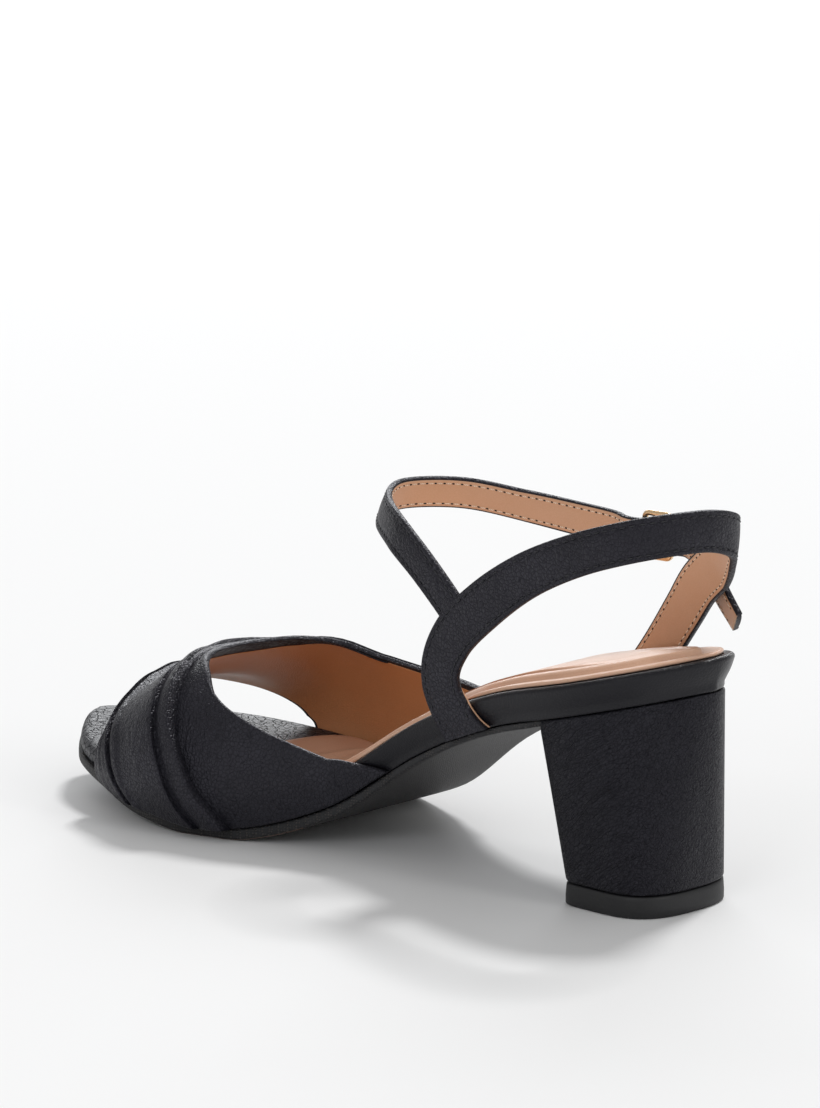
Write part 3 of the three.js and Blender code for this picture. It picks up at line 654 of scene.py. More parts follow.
def makeSock():
    def thickness(x):
        return 1 - 0.1 * easeAlong(x, 0.3, 0.62)

    def base(x):
        return rimTop(x) + shoe["gap"]

    def ring(inward, height):
        def heightAt(x, drawn):
            ripple = 0.12 * noise.noise(Vector((x * 0.06, inward * 0.1, 3.0))) if height > 1.5 else 0
            flat = min(height, sock["flange"])
            return base(x) + flat + (height - flat) * thickness(x) + ripple

        def insetAt(x):
            forward = easeAlong(x, 0.35, 0.5)
            inset = mix(sock["inset"], sock["frontInset"], forward)
            return inset + inward * mix(1, sock["frontFlange"], forward)

        front = sock["length"] - inward - sock["padBack"] * smooth(inward, 3.6, 5)
        points = []
        for x, y, z in soleRing(insetAt, heightAt, sock["steps"], front=front):
            # by the waist the inner edge lies further in and flatter, out of sight behind the rim
            along = x / shoe["length"]
            waist = smooth(along, 0.28, 0.34) * (1 - smooth(along, 0.4, 0.45)) * smooth(y - midY(x), 6, 14)
            flat = min(z - base(x), sock["flange"]) * (1 - smooth(inward, 5, 9))
            points.append((x, y - sock["waistInset"] * waist, z - 0.6 * flat * waist))
        return points

    rings = []
    for drawn in (0, 0.5, 1):
        rings.append(soleRing(
            lambda x: sock["inset"] + sock["underInset"],
            lambda x, d: base(x),
            sock["steps"],
            front=sock["length"] - sock["underInset"],
            drawn=drawn,
            heelDraw=24,
            toeDraw=18,
        ))
    rings += [ring(inward, height) for inward, height in sock["rows"]]
    last = sock["rows"][-1]
    for drawn in (0.66, 0.33, 0):
        rings.append([(x, mix(midY(x), y, drawn), z) for x, y, z in ring(last[0], last[1])])
    piece = skinPiece(rings, "paddedSock", sockLeather, "sock_lining", ["sock"])
    return piece


heel = {
    "back": 2.4,
    "topLength": 42.4,
    "seatMiddle": 20,
    "tipBack": 6.5,
    "tipLength": 32.2,
    "tipWidth": 39.8,
    "lift": 6.0,
    "steps": 120,
    "breastRound": 6.5,
    "backRound": 2.7,
    "seat": 1.8,
}


def heelRing(level, heightAt, inset=0.0):
    steps = heel["steps"]
    tipMiddle = midY(heel["tipBack"] + heel["tipLength"] / 2)
    seatReach = shoe["ballWidth"] * outlineRows[3][1]
    ring = []
    for k in range(steps):
        share = (1 - math.cos(2 * math.pi * k / steps)) / 2
        side = -1 if k <= steps / 2 else 1
        end = k % (steps // 2) == 0
        reach = abs(2 * share - 1)
        power = heel["breastRound"] if share > 0.5 else heel["backRound"]
        rounded = (1 - reach**power) ** (1 / power)
        tipX = heel["tipBack"] + heel["tipLength"] * share
        tipY = tipMiddle + (0 if end else side * heel["tipWidth"] / 2 * rounded)
        seatX = heel["back"] + heel["topLength"] * share
        place = seatX - heel["back"]
        half = abs(rimY(place, side) - midY(place)) * (1 - rim["slant"] / seatReach)
        seatY = midY(place) + (0 if end else side * half * (rounded if share > 0.5 else 1))
        x, y = mix(tipX, seatX, level), mix(tipY, seatY, level)
        middleX = mix(heel["tipBack"] + heel["tipLength"] / 2, heel["back"] + heel["topLength"] / 2, level)
        middleY = mix(tipMiddle, midY(heel["seatMiddle"]), level)
        reachOut = math.hypot(x - middleX, y - middleY)
        pull = 1 - inset / max(reachOut, 1)
        x, y = middleX + (x - middleX) * pull, middleY + (y - middleY) * pull
        ring.append((x, y, heightAt(x)))
    return ring


def makeHeel():
    bottom = heel["lift"] + shoe["gap"]

    def top(x):
        return feather(x) - 2 * shoe["gap"] - heel["seat"]

    def level(share, over):
        return lambda x: mix(bottom, top(x), share) + over

    # share of the outline's taper, share of the height, millimetres over it, inset
    rows = [(0, 0, 0, 3), (0, 0, 0, 0.7), (0.002, 0, 0.18, 0.2), (0.012, 0, 0.7, 0)]
    for share in (0.06, 0.14, 0.24, 0.34, 0.44, 0.54, 0.64, 0.74, 0.84, 0.92, 0.97):
        rows.append((share, share, 0, 0))
    lip = heel["seat"] + shoe["gap"]
    head = ((-0.75, 0), (-0.25, 0.12), (0, 0.5), (0, 1.0), (-0.4, 1.3), (-lip, 1.4), (-lip, 4))
    rows += [(1, 1, lip + over, inset) for over, inset in head]
    rings = [heelRing(taper, level(share, over), inset) for taper, share, over, inset in rows]
    return skinPiece(rings, "heelCover", heelLeather, "heel_wrap", ["heel_block"], 50, capped=True)


def makeLift():
    top = heel["lift"]
    rows = [(0, 2.0), (0, 0.35), (0.12, 0.1), (0.45, -0.1), (2.5, -0.12)]
    rows += [(top - 1.2, 0.05), (top - 0.35, 0.15), (top, 0.5), (top, 3.0)]
    rings = [heelRing(0, lambda x, z=height: z, inset) for height, inset in rows]
    return skinPiece(rings, "topLift", liftRubber, "lift_rubber", ["top_lift"], 50, capped=True)


makeFootbed()
makeOutsole()
makeSock()
makeHeel()
makeLift()
print("stage: sole, sock and heel")

# Crossed bands over the forefoot

crestRows = [  # along, rise, shift, bulge
    (0.38, 0.62, 0.05, 1), (0.44, 0.74, 0.05, 1), (0.5, 0.86, 0.05, 1),
    (0.59, 1.04, 0.045, 1), (0.66, 1.07, 0.04, 1), (0.724, 1.03, 0.04, 0.85),
    (0.8, 0.67, 0.035, 0.45), (0.84, 0.475, 0.03, 0.15), (0.87, 0.42, 0.02, 0),
    (0.908, 0.32, 0.01, 0), (0.943, 0.2, 0, 0), (0.975, 0.1, 0, 0),
]
bandRows = [  # girth, underFront, underRear, overFront, overRear
    (1, 0.8, 0.435, 0.838, 0.64), (0.86, 0.82, 0.474, 0.85, 0.657),
    (0.72, 0.825, 0.512, 0.848, 0.677), (0.5, 0.83, 0.62, 0.842, 0.72),
    (0.38, 0.842, 0.688, 0.853, 0.734), (0.25, 0.855, 0.735, 0.868, 0.746),
    (0, 0.895, 0.83, 0.888, 0.77), (-0.2, 0.918, 0.875, 0.897, 0.758),
    (-0.3, 0.928, 0.9, 0.898, 0.73), (-0.4, 0.937, 0.912, 0.887, 0.642),
    (-0.58, 0.948, 0.922, 0.845, 0.515), (-0.78, 0.955, 0.927, 0.81, 0.465),
    (-1, 0.958, 0.928, 0.802, 0.445),
]
foldRows = [  # girth, then the share of the band's width at each fold line
    (1, 0.34, 0.45, 0.81, 0.995), (0.86, 0.29, 0.4, 0.78, 0.995),
    (0.72, 0.24, 0.38, 0.78, 0.995), (0.6, 0.16, 0.34, 0.77, 0.995),
    (0.5, 0.08, 0.28, 0.78, 0.995), (0.38, 0.05, 0.22, 0.79, 0.99),
    (0.25, 0.04, 0.18, 0.79, 0.96), (0.12, 0.04, 0.15, 0.77, 0.93),
    (0, 0.04, 0.14, 0.74, 0.9), (-0.2, 0.04, 0.13, 0.7, 0.88),
    (-0.33, 0.045, 0.13, 0.72, 0.94), (-0.45, 0.05, 0.14, 0.76, 0.98),
    (-1, 0.08, 0.18, 0.82, 0.99),
]
foldRelief = [  # place counted in folds, height over the band's skin
    (0, 0.55), (0.5, 0.8), (0.93, 1.15), (0.985, 1.1), (1.0, 1.0), (1.02, -0.1),
    (1.1, -0.15), (1.28, 0.55), (1.48, 0.85), (1.7, 0.7), (1.95, 0.2), (2.2, 0.25),
    (2.6, 0.7), (2.93, 1.3), (2.98, 1.3), (3.0, 1.2), (3.03, 0.05), (3.12, 0.0),
    (3.35, 0.7), (3.6, 1.25), (3.85, 1.5), (3.97, 1.45), (4.0, 1.3), (4.06, -0.25),
    (4.3, -0.3), (5, -0.1),
]
bindingRows = [  # girth, rear edge of the throat's binding
    (0.4, 0.681), (0.38, 0.688), (0.3, 0.712), (0.25, 0.7275), (0.2, 0.739), (0.12, 0.751),
    (0, 0.761), (-0.1, 0.76), (-0.2, 0.749), (-0.3, 0.724), (-0.36, 0.69), (-0.4, 0.652),
]
vamp = {
    "rise": 37,
    "bulge": 1.3,
    "wide": 5,
    "wall": 1.5,
    "reach": 0.985,
    "layer": 0.25,
    "skin": 0.35,
    "doubled": 0.9,
    "sideShare": 0.72,
    "edgeRound": 0.9,
    "liningFront": 0.8,
    "foldedEdge": 3.2,
    "sideEdge": 1.1,
    "binding": 0.014,
    "bindingReach": 0.4,
    "liningWall": 0.35,
    "liningRound": 0.3,
    "leatherIn": 0.2,
    "ripple": 0.12,
    "frontPleats": 0.22,
    "girthSteps": 150,
}
riseShare = curveThrough(crestRows, 1)
shiftShare = curveThrough(crestRows, 2)
bulgeShare = curveThrough(crestRows, 3)


def formPoint(x, girth):
    side = 1 if girth >= 0 else -1
    along = x / shoe["length"]
    edge = rimY(x, side)
    top = rimTop(x)
    bulge = bulgeShare(along)
    wide = (edge + side * vamp["bulge"] * bulge, top + vamp["wide"] * bulge)
    out = abs(girth)
    if out > vamp["sideShare"]:
        t = (1 - out) / (1 - vamp["sideShare"])
        foot = (edge - side * slantAt(x), feather(x))
        knee = (wide[0], top - (1 - bulge) * slantAt(x))
        y, z = ((1 - t) ** 2 * foot[i] + 2 * t * (1 - t) * knee[i] + t * t * wide[i] for i in (0, 1))
        return Vector((x, y, z))
    crest = (midY(x) + shoe["ballWidth"] * shiftShare(along), top + vamp["rise"] * riseShare(along))
    angle = out / vamp["sideShare"] * math.pi / 2
    y = crest[0] + (wide[0] - crest[0]) * math.sin(angle)
    z = wide[1] + (crest[1] - wide[1]) * max(math.cos(angle), 0) ** 0.95
    return Vector((x, y, z))


def skinFrame(x, girth):
    point = formPoint(x, girth)
    ahead = formPoint(x + 1, girth) - formPoint(x - 1, girth)
    around = formPoint(x, min(girth + 0.02, 1)) - formPoint(x, max(girth - 0.02, -1))
    return point, ahead.cross(around).normalized()


def evenly(count, low=0.0, high=1.0):
    return [mix(low, high, i / (count - 1)) for i in range(count)]


plainMarks = evenly(46)
foldMarks = evenly(8, 0.1, 0.85) + [0.9, 0.94, 0.965, 0.985, 1.0, 1.01, 1.02, 1.035, 1.07, 1.14]
foldMarks += evenly(8, 1.22, 1.85) + [1.95, 2.05] + evenly(11, 2.16, 2.86)
foldMarks += [2.91, 2.95, 2.975, 2.99, 3.0, 3.012, 3.03, 3.05, 3.1, 3.17]
foldMarks += evenly(8, 3.26, 3.82) + [3.88, 3.93, 3.965, 3.985, 4.0, 4.03, 4.06, 4.12, 4.3, 4.6]


def bandRings(front, rear, marks, shareOf, liftAt, innerLift, insets, roundness, reach=1.0):
    # each ring is one loop across the band: its outer face, its two rolled edges and its inner face
    rings = []
    steps = vamp["girthSteps"]
    for k in range(steps + 1):
        girth = reach * (1 - 2 * k / steps)
        ahead = front(girth) * shoe["length"] - insets[0]
        behind = rear(girth) * shoe["length"] + insets[1]
        edge = roundness / max(ahead - behind, 2)
        outer, inner = [], []
        shares = [0, 0.13 * edge, 0.5 * edge, edge]
        shares += [clamp(shareOf(mark, girth), 1.1 * edge, 1 - 1.1 * edge) for mark in marks]
        shares += [1 - edge, 1 - 0.5 * edge, 1 - 0.13 * edge, 1]
        for share in shares:
            x = mix(ahead, behind, share)
            point, normal = skinFrame(x, girth)
            depth = clamp(min(share, 1 - share) / edge)
            lift = mix(innerLift + 0.25, liftAt(share, girth, x), math.sqrt(1 - (1 - depth) ** 2))
            for row, height in ((outer, lift), (inner, innerLift)):
                place = point + normal * height
                place.z = max(place.z, feather(place.x) + 0.02)
                row.append(place)
        rings.append(outer + inner[::-1])
    return rings


def makeVamp():
    underFront, underRear, overFront, overRear = (curveThrough(bandRows, i) for i in (1, 2, 3, 4))
    foldLines = [curveThrough(foldRows, i) for i in (1, 2, 3, 4)]
    outerTop = vamp["skin"] + vamp["wall"]
    square = (0, 0)

    def plain(mark, girth):
        return mark

    def ripple(x, girth, amount):
        broad = noise.noise(Vector((x * 0.11, girth * 7.0, 0.4)))
        return amount * (broad + 0.5 * noise.noise(Vector((x * 0.3, girth * 16.0, 2.0))))

    def makeLining(name, front, rear, lift, rearInset):
        def top(share, girth, x):
            return lift + vamp["liningWall"]

        insets = (vamp["liningFront"], rearInset)
        turned = vamp["liningRound"]
        rings = bandRings(front, rear, plainMarks, plain, top, lift, insets, turned, vamp["reach"])
        skinPiece(rings, name, shadedBandLining, "sock_lining", capped=True)

    def underLift(share, girth, x):
        return outerTop + ripple(x, girth, vamp["ripple"])

    inner = vamp["skin"] + vamp["leatherIn"]
    rings = bandRings(underFront, underRear, plainMarks, plain, underLift, inner, square, vamp["edgeRound"])
    skinPiece(rings, "underBand", bandLeather, "upper_leather", ["vamp"], capped=True)
    makeLining("underBandLining", underFront, underRear, vamp["skin"], vamp["sideEdge"])

    # the over band falls in folds toward the heel, and is doubled where it lies on the under band
    def foldEdges(girth):
        return [0] + [line(girth) for line in foldLines] + [1]

    def foldShare(mark, girth):
        edges = foldEdges(girth)
        i = min(int(mark), 4)
        return mix(edges[i], edges[i + 1], mark - i)

    def foldLift(share, girth, x):
        edges = foldEdges(girth)
        i = max(n for n in range(5) if share >= edges[n])
        place = i + (share - edges[i]) / (edges[i + 1] - edges[i])
        row = max(n for n in range(len(foldRelief) - 1) if place >= foldRelief[n][0])
        (low, before), (high, after) = foldRelief[row:row + 2]
        relief = mix(before, after, (place - low) / (high - low))
        frontFold = smooth(place, 0.1, 0.3) * (1 - smooth(place, 0.8, 0.95))
        pleats = vamp["frontPleats"] * math.sin(place * 19) * frontFold * smooth(girth, 0.4, 0.7)
        doubled = smooth(girth, -0.32, -0.08)
        # the folds flatten on the outer side and by the near corner, and rise on the crest
        calm = mix(0.45, 1, smooth(girth, -0.36, -0.2))
        calm -= 0.35 * smooth(girth, -0.05, 0.08) * (1 - smooth(girth, 0.25, 0.4))
        proud = 0.45 * smooth(girth, -0.25, -0.13) * (1 - smooth(girth, -0.05, 0.1))
        base = vamp["skin"] + vamp["layer"] + vamp["wall"] * (1 + vamp["doubled"] * doubled)
        return base + (calm + proud) * relief + pleats + ripple(x, girth, vamp["ripple"])

    lift = vamp["skin"] + vamp["layer"]
    inner = lift + vamp["leatherIn"]
    rings = bandRings(overFront, overRear, foldMarks, foldShare, foldLift, inner, square, vamp["edgeRound"])
    skinPiece(rings, "overBand", bandLeather, "upper_leather", sharpAngle=55, capped=True)
    makeLining("overBandLining", overFront, overRear, lift, vamp["foldedEdge"])

    # a narrow folded strip runs on from the near edge and borders the throat
    rear = curveThrough(bindingRows, 1)

    reach = vamp["bindingReach"]

    def front(girth):
        return rear(girth) + vamp["binding"] * mix(0.4, 1, smooth(reach - abs(girth), 0, 0.1))

    def bindingLift(share, girth, x):
        return outerTop + 0.1

    rings = bandRings(front, rear, evenly(10), plain, bindingLift, vamp["skin"] + 0.05, square, 1.0, reach)
    skinPiece(rings, "throatBinding", bandLeather, "upper_leather", capped=True)


makeVamp()
print("stage: crossed bands")

# Ankle straps

slingRows = [  # x, y, above, width
    (0.3, 0.45, -0.27, 0.95), (0.316, 0.48, -0.06, 1), (0.325, 0.505, 0.3, 1),
    (0.307, 0.505, 0.54, 1.04), (0.26, 0.5, 0.73, 1.04), (0.196, 0.482, 0.91, 0.96),
    (0.123, 0.455, 1.02, 0.9), (0.061, 0.4, 1.055, 0.88), (0.0235, 0.286, 1.055, 0.88),
    (0.004, 0.06, 1.02, 0.88), (0.012, -0.15, 0.93, 0.91), (0.042, -0.26, 0.82, 0.97),
    (0.082, -0.36, 0.69, 1.04), (0.128, -0.446, 0.54, 1.04), (0.157, -0.48, 0.35, 1),
    (0.2, -0.5, 0.03, 0.95), (0.24, -0.48, -0.27, 0.92),
]
instepRows = [  # x, y, above
    (0.285, 0.5, 0.55), (0.31, 0.502, 0.8), (0.358, 0.482, 1.2),
    (0.422, 0.393, 1.64), (0.492, 0.18, 2.05), (0.52, 0, 2.19),
    (0.517, -0.11, 2.19), (0.475, -0.32, 1.99), (0.398, -0.446, 1.56),
    (0.325, -0.482, 1.28), (0.268, -0.487, 1.11),
]
threadRows = [(0.9, -0.23), (0.5, -0.27), (0.02, 0.05), (-0.5, 0.38), (-0.95, 0.33)]  # run, out
tailRows = [(0.146, -0.562, 0.8), (0.114, -0.54, 0.46), (0.082, -0.518, 0.19)]
branchRows = [(0.07, -0.35, 0.75), (0.12, -0.455, 0.79)]
straps = {
    "ankleWidth": 56,
    "rise": 34,
    "slingWall": 2.0,
    "slingWidth": 13,
    "instepWidth": 9.5,
    "instepWall": 1.8,
    "lean": 0.35,
    "tailTwist": 0.72,
    "tailStart": 0.82,
    "rimEase": 0.65,
    "footRun": 15,
    "feet": ((0.334, 0.257), (0.28, 0.212)),
    "pad": 0.3,
    "liningInset": 0.55,
    "stitchInset": 1.55,
    "stitchPitch": 2.5,
    "stitch": (1.75, 0.42, 0.42),
    "hole": (0.8, 0.55, 0.24),
}
buckle = {
    "seat": (0.208, -0.52, 0.975),
    "length": 10,
    "height": 13.6,
    "bar": 1.6,
    "plate": 1.5,
    "tilt": 0.14,
    "corner": 2.2,
    "prong": 0.5,
    "loopWall": 1.1,
}


def strapPoint(row):
    x = row[0] * shoe["length"]
    return Vector((x, row[1] * straps["ankleWidth"], rimTop(max(x, 0)) + row[2] * straps["rise"]))


buckleSeat = Matrix.Translation(strapPoint(buckle["seat"]))
buckleSeat @= Matrix.Rotation(math.pi / 2, 4, "X") @ Matrix.Rotation(buckle["tilt"], 4, "Y")


def inBuckle(run, up, out):
    return buckleSeat @ Vector((run, up, out))


def strapOut(point, t=0):
    length = shoe["length"]
    middle = clamp(point.x / length, 0.086, 0.41) * length
    lean = straps["lean"] * smooth(point.x / length, 0.3, 0.5)
    flat = Vector((point.x - middle, point.y, 0)).normalized()
    return Vector((flat.x, flat.y, lean)).normalized()


def tailOut(point, t):
    if t < straps["tailStart"]:
        return strapOut(point)
    turn = straps["tailTwist"] * smooth(t, straps["tailStart"], 1)
    return Vector((-math.sin(turn), -math.cos(turn), 0))


def rimClearance(point):
    side = 1 if point.y > 0 else -1
    x = clamp(point.x, 1, shoe["length"] - 1)
    share = (point.z - feather(x)) / (rimTop(x) - feather(x))
    slant = slantAt(x) * (1 - max(share, 0)) if share < 1 else (point.z - rimTop(x)) * 0.8
    needed = side * rimY(x, side) - slant + straps["rimEase"]
    return side * max(needed - side * point.y, 0)


def smoothRoute(points, fine=48):
    # a centripetal curve through the points, then even steps along it
    ends = [points[0] * 2 - points[1]] + points + [points[-1] * 2 - points[-2]]
    dense = []
    for i in range(1, len(ends) - 2):
        a, b, c, d = ends[i - 1:i + 3]
        steps = [max((q - p).length ** 0.5, 1e-4) for p, q in ((a, b), (b, c), (c, d))]
        leave = ((b - a) / steps[0] - (c - a) / (steps[0] + steps[1]) + (c - b) / steps[1]) * steps[1]
        arrive = ((c - b) / steps[1] - (d - b) / (steps[1] + steps[2]) + (d - c) / steps[2]) * steps[1]
        for k in range(fine):
            t = k / fine
            t2, t3 = t * t, t * t * t
            spot = b * (2 * t3 - 3 * t2 + 1) + leave * (t3 - 2 * t2 + t)
            dense.append(spot + c * (3 * t2 - 2 * t3) + arrive * (t3 - t2))
    dense.append(points[-1].copy())
    run = [0.0]
    for p, q in zip(dense, dense[1:]):
        run.append(run[-1] + (q - p).length)

    def read(t):
        goal = clamp(t) * run[-1]
        low, high = 0, len(run) - 1
        while high - low > 1:
            middle = (low + high) // 2
            if run[middle] <= goal:
                low = middle
            else:
                high = middle
        share = (goal - run[low]) / max(run[high] - run[low], 1e-9)
        return dense[low].lerp(dense[high], share)

    return read, run[-1]


class Strap:
    def __init__(self, points, widths, wall, out, feet=()):
        self.read, self.length = smoothRoute(points)
        spans = [0.0]
        for p, q in zip(points, points[1:]):
            spans.append(spans[-1] + (q - p).length)
        rows = [(spans[i] / spans[-1], width) for i, width in enumerate(widths)]
        self.width = curveThrough(rows, 1)
        self.wall, self.out, self.feet = wall, out, feet

    def place(self, t, across, depth):
        # across in millimetres from the middle, depth from the inner face outwards
        centre = self.read(t)
        along = (self.read(t + 0.002) - self.read(t - 0.002)).normalized()
        sideways = along.cross(self.out(centre, t)).normalized()
        normal = sideways.cross(along).normalized()
        spot = centre + sideways * across
        for end, foot in enumerate(self.feet):
            away = self.length * (t if end == 0 else 1 - t)
            held = 1 - smooth(away, 0, straps["footRun"])
            x = shoe["length"] * mix(foot[0], foot[1], across / self.width(t) + 0.5)
            side = 1 if end == 0 else -1
            sewn = Vector((x, rimY(x, side) - side * (slantAt(x) - straps["rimEase"]), feather(x)))
            spot = spot.lerp(sewn, held)
        inside = spot - normal * (self.wall / 2)
        if self.feet:
            inside.y += rimClearance(inside)
        return inside + normal * depth, along, sideways, normal

    def ring(self, t, profile):
        return [self.place(t, across, depth)[0] for across, depth in profile(t)]


def leatherProfile(strap, pad):
    # one loop round the strap: padded outer face, folded edges, and the inner face under the lining
    def profile(t):
        half, wall, line = strap.width(t) / 2, strap.wall, straps["stitchInset"]
        right = [(half, wall * 0.5), (half - 0.04, wall * 0.78), (half - 0.2, wall * 0.93)]
        right += [(half - 0.55, wall + 0.02), (half - 1.0, wall + 0.03)]
        right += [(half - line + 0.25, wall - 0.04), (half - line, wall - 0.14)]
        right += [(half - line - 0.25, wall - 0.04), (half - line - 0.8, wall + pad * 0.45)]
        for share in (0.66, 0.33):
            right.append(((half - line - 0.8) * share, wall + pad * (1 - 0.5 * share * share)))
        under = [(half - 0.04, wall * 0.22), (half - 0.25, 0.05), (half - 0.6, 0.02)]
        outer = right + [(0, wall + pad)] + [(-a, d) for a, d in reversed(right)]
        return outer + [(-a, d) for a, d in under] + [(a, d) for a, d in reversed(under)]
    return profile


def liningProfile(strap):
    # by the foot of the sling the lining comes out to the rear edge
    def profile(t):
        half = strap.width(t) / 2 - straps["liningInset"]
        away = min(t, 1 - t) * strap.length
        out = (straps["liningInset"] + 0.12) * (1 - smooth(away, 10, 17)) if strap.feet else 0
        right = [(half, 0.1), (half - 0.1, -0.06), (half - 0.35, -0.12)]
        inner = [(half * share, -0.12 - 0.06 * (1 - share * share)) for share in (0.6, 0.3)]
        face = right + inner + [(0, -0.18)] + [(-a, d) for a, d in reversed(right + inner)]
        face[0] = (half + out, 0.15 + 0.5 * min(out, 1))
        face[1] = (half + out, -0.02)
        return face + [(-half + 0.2, 0.35), (half - 0.2, 0.35)]
    return profile


def makeStitches(name, strap, depth, material, slotName, start, stop, holes=False):
    # thread ends dive into the strap, so each stitch is a short flattened bead
    bm = bmesh.new()
    count = int(strap.length * (stop - start) / straps["stitchPitch"])
    for k in range(count):
        t = mix(start, stop, (k + (1.0 if holes else 0.5)) / count)
        for side in (-1, 1):
            across = side * (strap.width(t) / 2 - straps["stitchInset"])
            spot, along, sideways, normal = strap.place(t, across, depth)
            size = straps["hole"] if holes else straps["stitch"]
            turn = Matrix((along, sideways, normal)).transposed().to_4x4()
            shape = Matrix.Diagonal((*(value / 2000 for value in size), 1))
            where = Matrix.Translation(inMetres(spot)) @ turn @ shape
            bmesh.ops.create_uvsphere(bm, u_segments=8, v_segments=6, radius=1, matrix=where)
    bmesh.ops.recalc_face_normals(bm, faces=bm.faces)
    return finishPiece(bm, name, [material])


def makeStrap(name, strap, steps, pad, stitchRange, nodes=()):
    places = evenly(steps + 1)
    rings = [strap.ring(t, leatherProfile(strap, pad)) for t in places]
    skinPiece(rings, name, bandLeather, "upper_leather", nodes, capped=True)
    rings = [strap.ring(t, liningProfile(strap)) for t in places]
    skinPiece(rings, name + "Lining", liningLeather, "sock_lining", capped=True)
    makeStitches(name + "Stitches", strap, strap.wall - 0.02, blackThread, "upper_leather", *stitchRange)
    makeStitches(name + "LiningStitches", strap, -0.17, tanThread, "sock_lining", *stitchRange)
    # painted shade in the needle holes along the lining
    makeStitches(name + "NeedleHoleShades", strap, -0.14, needleHoleShade, "sock_lining", *stitchRange, holes=True)


rearBar = -(buckle["length"] - buckle["bar"]) / 2
frontBar = -rearBar
loopHole = math.hypot(buckle["bar"], buckle["plate"]) / 2 + shoe["gap"]


def makeStraps():
    slingPoints = [strapPoint(row) for row in slingRows]
    slingWidths = [row[3] * straps["slingWidth"] for row in slingRows]
    sling = Strap(slingPoints, slingWidths, straps["slingWall"], strapOut, straps["feet"])
    makeStrap("sling", sling, 260, straps["pad"], (0.035, 0.965), ["ankle_straps"])

    thread = [inBuckle(run * buckle["length"], 0, out * buckle["length"]) for run, out in threadRows]
    overPoints = [strapPoint(row) for row in instepRows] + thread + [strapPoint(row) for row in tailRows]
    over = Strap(overPoints, [straps["instepWidth"]] * len(overPoints), straps["instepWall"], tailOut)
    makeStrap("instepStrap", over, 320, 0.2, (9 / over.length, 0.985))

    branchPoints = [strapPoint(row) for row in branchRows]
    for run in (rearBar - buckle["length"] / 2, rearBar - loopHole - straps["instepWall"] / 4):
        branchPoints.append(inBuckle(run, 0, 0))
    branch = Strap(branchPoints, [straps["instepWidth"]] * 4, straps["instepWall"], strapOut)
    makeStrap("buckleBranch", branch, 40, 0.15, (0.35, 0.8))


def sweepLoop(name, path, section, material, slotName, nodes=()):
    # carries a flat section round a closed path of (point, sideways, up)
    rings = [[point + sideways * a + up * b for a, b in section] for point, sideways, up in path]
    return skinPiece(rings, name, material, slotName, nodes, looped=True)


def roundSection(width, height, power=2.6, sides=16):
    section = []
    for k in range(sides):
        angle = 2 * math.pi * k / sides
        halves = ((width / 2, math.cos(angle)), (height / 2, math.sin(angle)))
        section.append([half * math.copysign(abs(share) ** (2 / power), share) for half, share in halves])
    return section


def seatedAxes():
    turn = buckleSeat.to_3x3()
    return turn @ Vector((1, 0, 0)), turn @ Vector((0, 1, 0)), turn @ Vector((0, 0, 1))


def makeBuckle():
    runAxis, upAxis, outAxis = seatedAxes()
    u = (buckle["length"] - buckle["bar"]) / 2
    v = (buckle["height"] - buckle["bar"]) / 2
    corner = buckle["corner"] - buckle["bar"] / 2
    path = []
    for cornerX, cornerY, start in ((u, v, 0), (-u, v, 90), (-u, -v, 180), (u, -v, 270)):
        centreX = cornerX - math.copysign(corner, cornerX)
        centreY = cornerY - math.copysign(corner, cornerY)
        for angle in range(0, 91, 15):
            turn = math.radians(start + angle)
            out = runAxis * math.cos(turn) + upAxis * math.sin(turn)
            spot = inBuckle(centreX + corner * math.cos(turn), centreY + corner * math.sin(turn), 0)
            path.append((spot, out, outAxis))
    section = roundSection(buckle["bar"], buckle["plate"])
    sweepLoop("buckleFrame", path, section, buckleGold, "buckle_gold", ["buckle_frame"])

    radius = loopHole + buckle["prong"]
    ring = []
    for k in range(28):
        turn = 2 * math.pi * k / 28
        out = runAxis * math.cos(turn) + outAxis * math.sin(turn)
        ring.append((inBuckle(rearBar + radius * math.cos(turn), 0, radius * math.sin(turn)), out, upAxis))
    section = roundSection(2 * buckle["prong"], 2 * buckle["prong"], 2.0, 12)
    sweepLoop("prongRing", ring, section, buckleGold, "buckle_gold", ["buckle_prong"])
    lift = buckle["plate"] / 2 + shoe["gap"] + buckle["prong"]
    reach = frontBar + buckle["bar"] * 0.4 - rearBar
    rod = []
    for k in range(25):
        share = k / 24
        height = mix(radius, lift, share) + 0.12 * math.sin(math.pi * share)
        rod.append((inBuckle(rearBar + reach * share, 0, height), upAxis, outAxis))
    rings = []
    for k, (point, sideways, up) in enumerate(rod):
        ease = math.sqrt(max(1 - max((k - 21) / 3.2, 0) ** 2, 0.02))
        rings.append([point + sideways * a * ease + up * b * ease for a, b in section])
    skinPiece(rings, "prongPin", buckleGold, "buckle_gold", capped=True)

    # the strap's loop round the rear bar leaves a slot for the prong
    slot = buckle["prong"] + shoe["gap"]
    width = straps["instepWidth"] / 2 - slot
    loopMiddle = loopHole + buckle["loopWall"] / 2
    for label, side in (("Upper", 1), ("Lower", -1)):
        loop = []
        for k in range(32):
            turn = 2 * math.pi * k / 32
            out = runAxis * math.cos(turn) + outAxis * math.sin(turn)
            run = rearBar + loopMiddle * math.cos(turn)
            spot = inBuckle(run, side * (slot + width / 2), loopMiddle * math.sin(turn))
            loop.append((spot, out, upAxis))
        section = roundSection(buckle["loopWall"], width, 5.0, 20)
        sweepLoop("barLoop" + label, loop, section, bandLeather, "upper_leather")


makeStraps()
makeBuckle()
print("stage: straps and buckle")

# Floor, light and camera

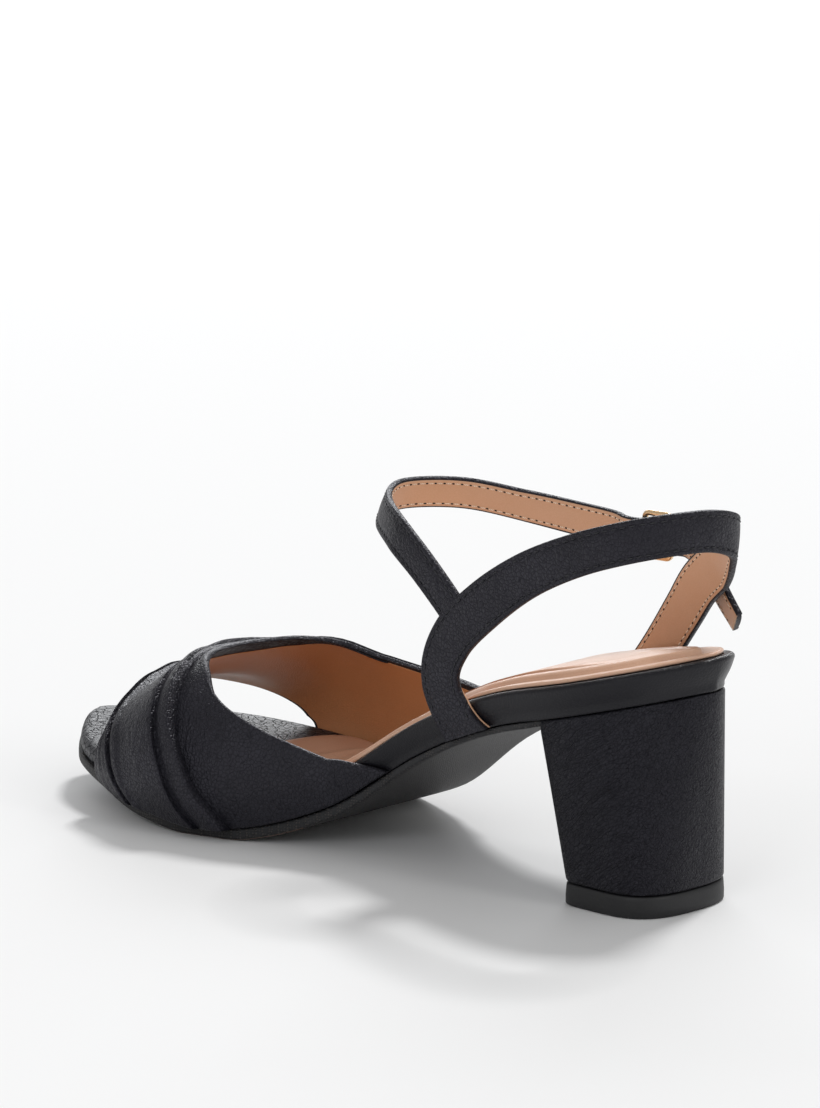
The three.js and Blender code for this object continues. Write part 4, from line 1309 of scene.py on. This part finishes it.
studio = {
    "floor": (0.87, 0.87, 0.87),
    "world": (1.0, 1.0, 1.0),
    "worldStrength": 0.46,
    "target": (0.07, 0.0, 0.045),
    "sunFrom": (0.12, -0.56, 0.82),
    "sunStrength": 1.55,
    "sunAngle": 12,
    "boxes": [  # name, place, size, power, colour
        ("frontSoftbox", (-0.9, 3.0, 1.9), (1.4, 1.0), 14.0, (0.95, 0.97, 1.0)),
        ("sideSoftbox", (-3.0, -0.3, 1.6), (0.7, 1.6), 14.0, (1.0, 0.99, 0.97)),
        ("backSoftbox", (2.3, -2.4, 1.3), (2.2, 0.9), 40.0, (0.96, 0.98, 1.0)),
    ],
}
camera = {
    "place": (-1.43562, 1.64591, 0.59365),
    "right": (-0.73258, -0.68065, 0.00689),
    "up": (0.15661, -0.15869, 0.97483),
    "look": (0.66242, -0.71522, -0.22285),
    "focal": 8438.2,
    "frameHeight": 1108,
}


def makeStudio():
    bm = bmesh.new()
    bmesh.ops.create_grid(bm, x_segments=8, y_segments=8, size=6, calc_uvs=False)
    mesh = bpy.data.meshes.new("floor")
    bm.to_mesh(mesh)
    bm.free()
    material, tree, shader = newMaterial("paleFloor", studio["floor"], 0.9)
    shader.inputs["Specular IOR Level"].default_value = 0.1
    mesh.materials.append(material)
    floor = bpy.data.objects.new("floor", mesh)
    mesh.transform(Matrix.Translation((0, 0, -0.0001)))
    bpy.context.scene.collection.objects.link(floor)

    world = bpy.data.worlds.new("studio")
    world.use_nodes = True
    background = world.node_tree.nodes["Background"]
    background.inputs["Color"].default_value = (*studio["world"], 1)
    background.inputs["Strength"].default_value = studio["worldStrength"]
    bpy.context.scene.world = world
    sun = bpy.data.lights.new("overhead", "SUN")
    sun.energy = studio["sunStrength"]
    sun.angle = math.radians(studio["sunAngle"])
    overhead = bpy.data.objects.new("overhead", sun)
    overhead.rotation_euler = Vector(studio["sunFrom"]).to_track_quat("Z", "Y").to_euler()
    bpy.context.scene.collection.objects.link(overhead)
    for name, place, size, power, colour in studio["boxes"]:
        light = bpy.data.lights.new(name, "AREA")
        light.shape = "RECTANGLE"
        light.size, light.size_y = size
        light.energy = power
        light.color = colour
        lamp = bpy.data.objects.new(name, light)
        lamp.location = place
        lamp.rotation_euler = (Vector(studio["target"]) - Vector(place)).to_track_quat("-Z", "Y").to_euler()
        bpy.context.scene.collection.objects.link(lamp)


def makeCamera():
    lens = bpy.data.cameras.new("camera")
    lens.sensor_fit = "VERTICAL"
    lens.sensor_height = 36
    lens.lens = camera["focal"] / camera["frameHeight"] * 36
    lens.clip_end = 50
    eye = bpy.data.objects.new("camera", lens)
    axes = Matrix((camera["right"], camera["up"], [-c for c in camera["look"]])).transposed()
    eye.matrix_world = Matrix.Translation(camera["place"]) @ axes.to_4x4()
    bpy.context.scene.collection.objects.link(eye)
    bpy.context.scene.camera = eye
    bpy.context.scene.view_settings.view_transform = "Standard"


makeStudio()
makeCamera()
print("stage: floor, light and camera")
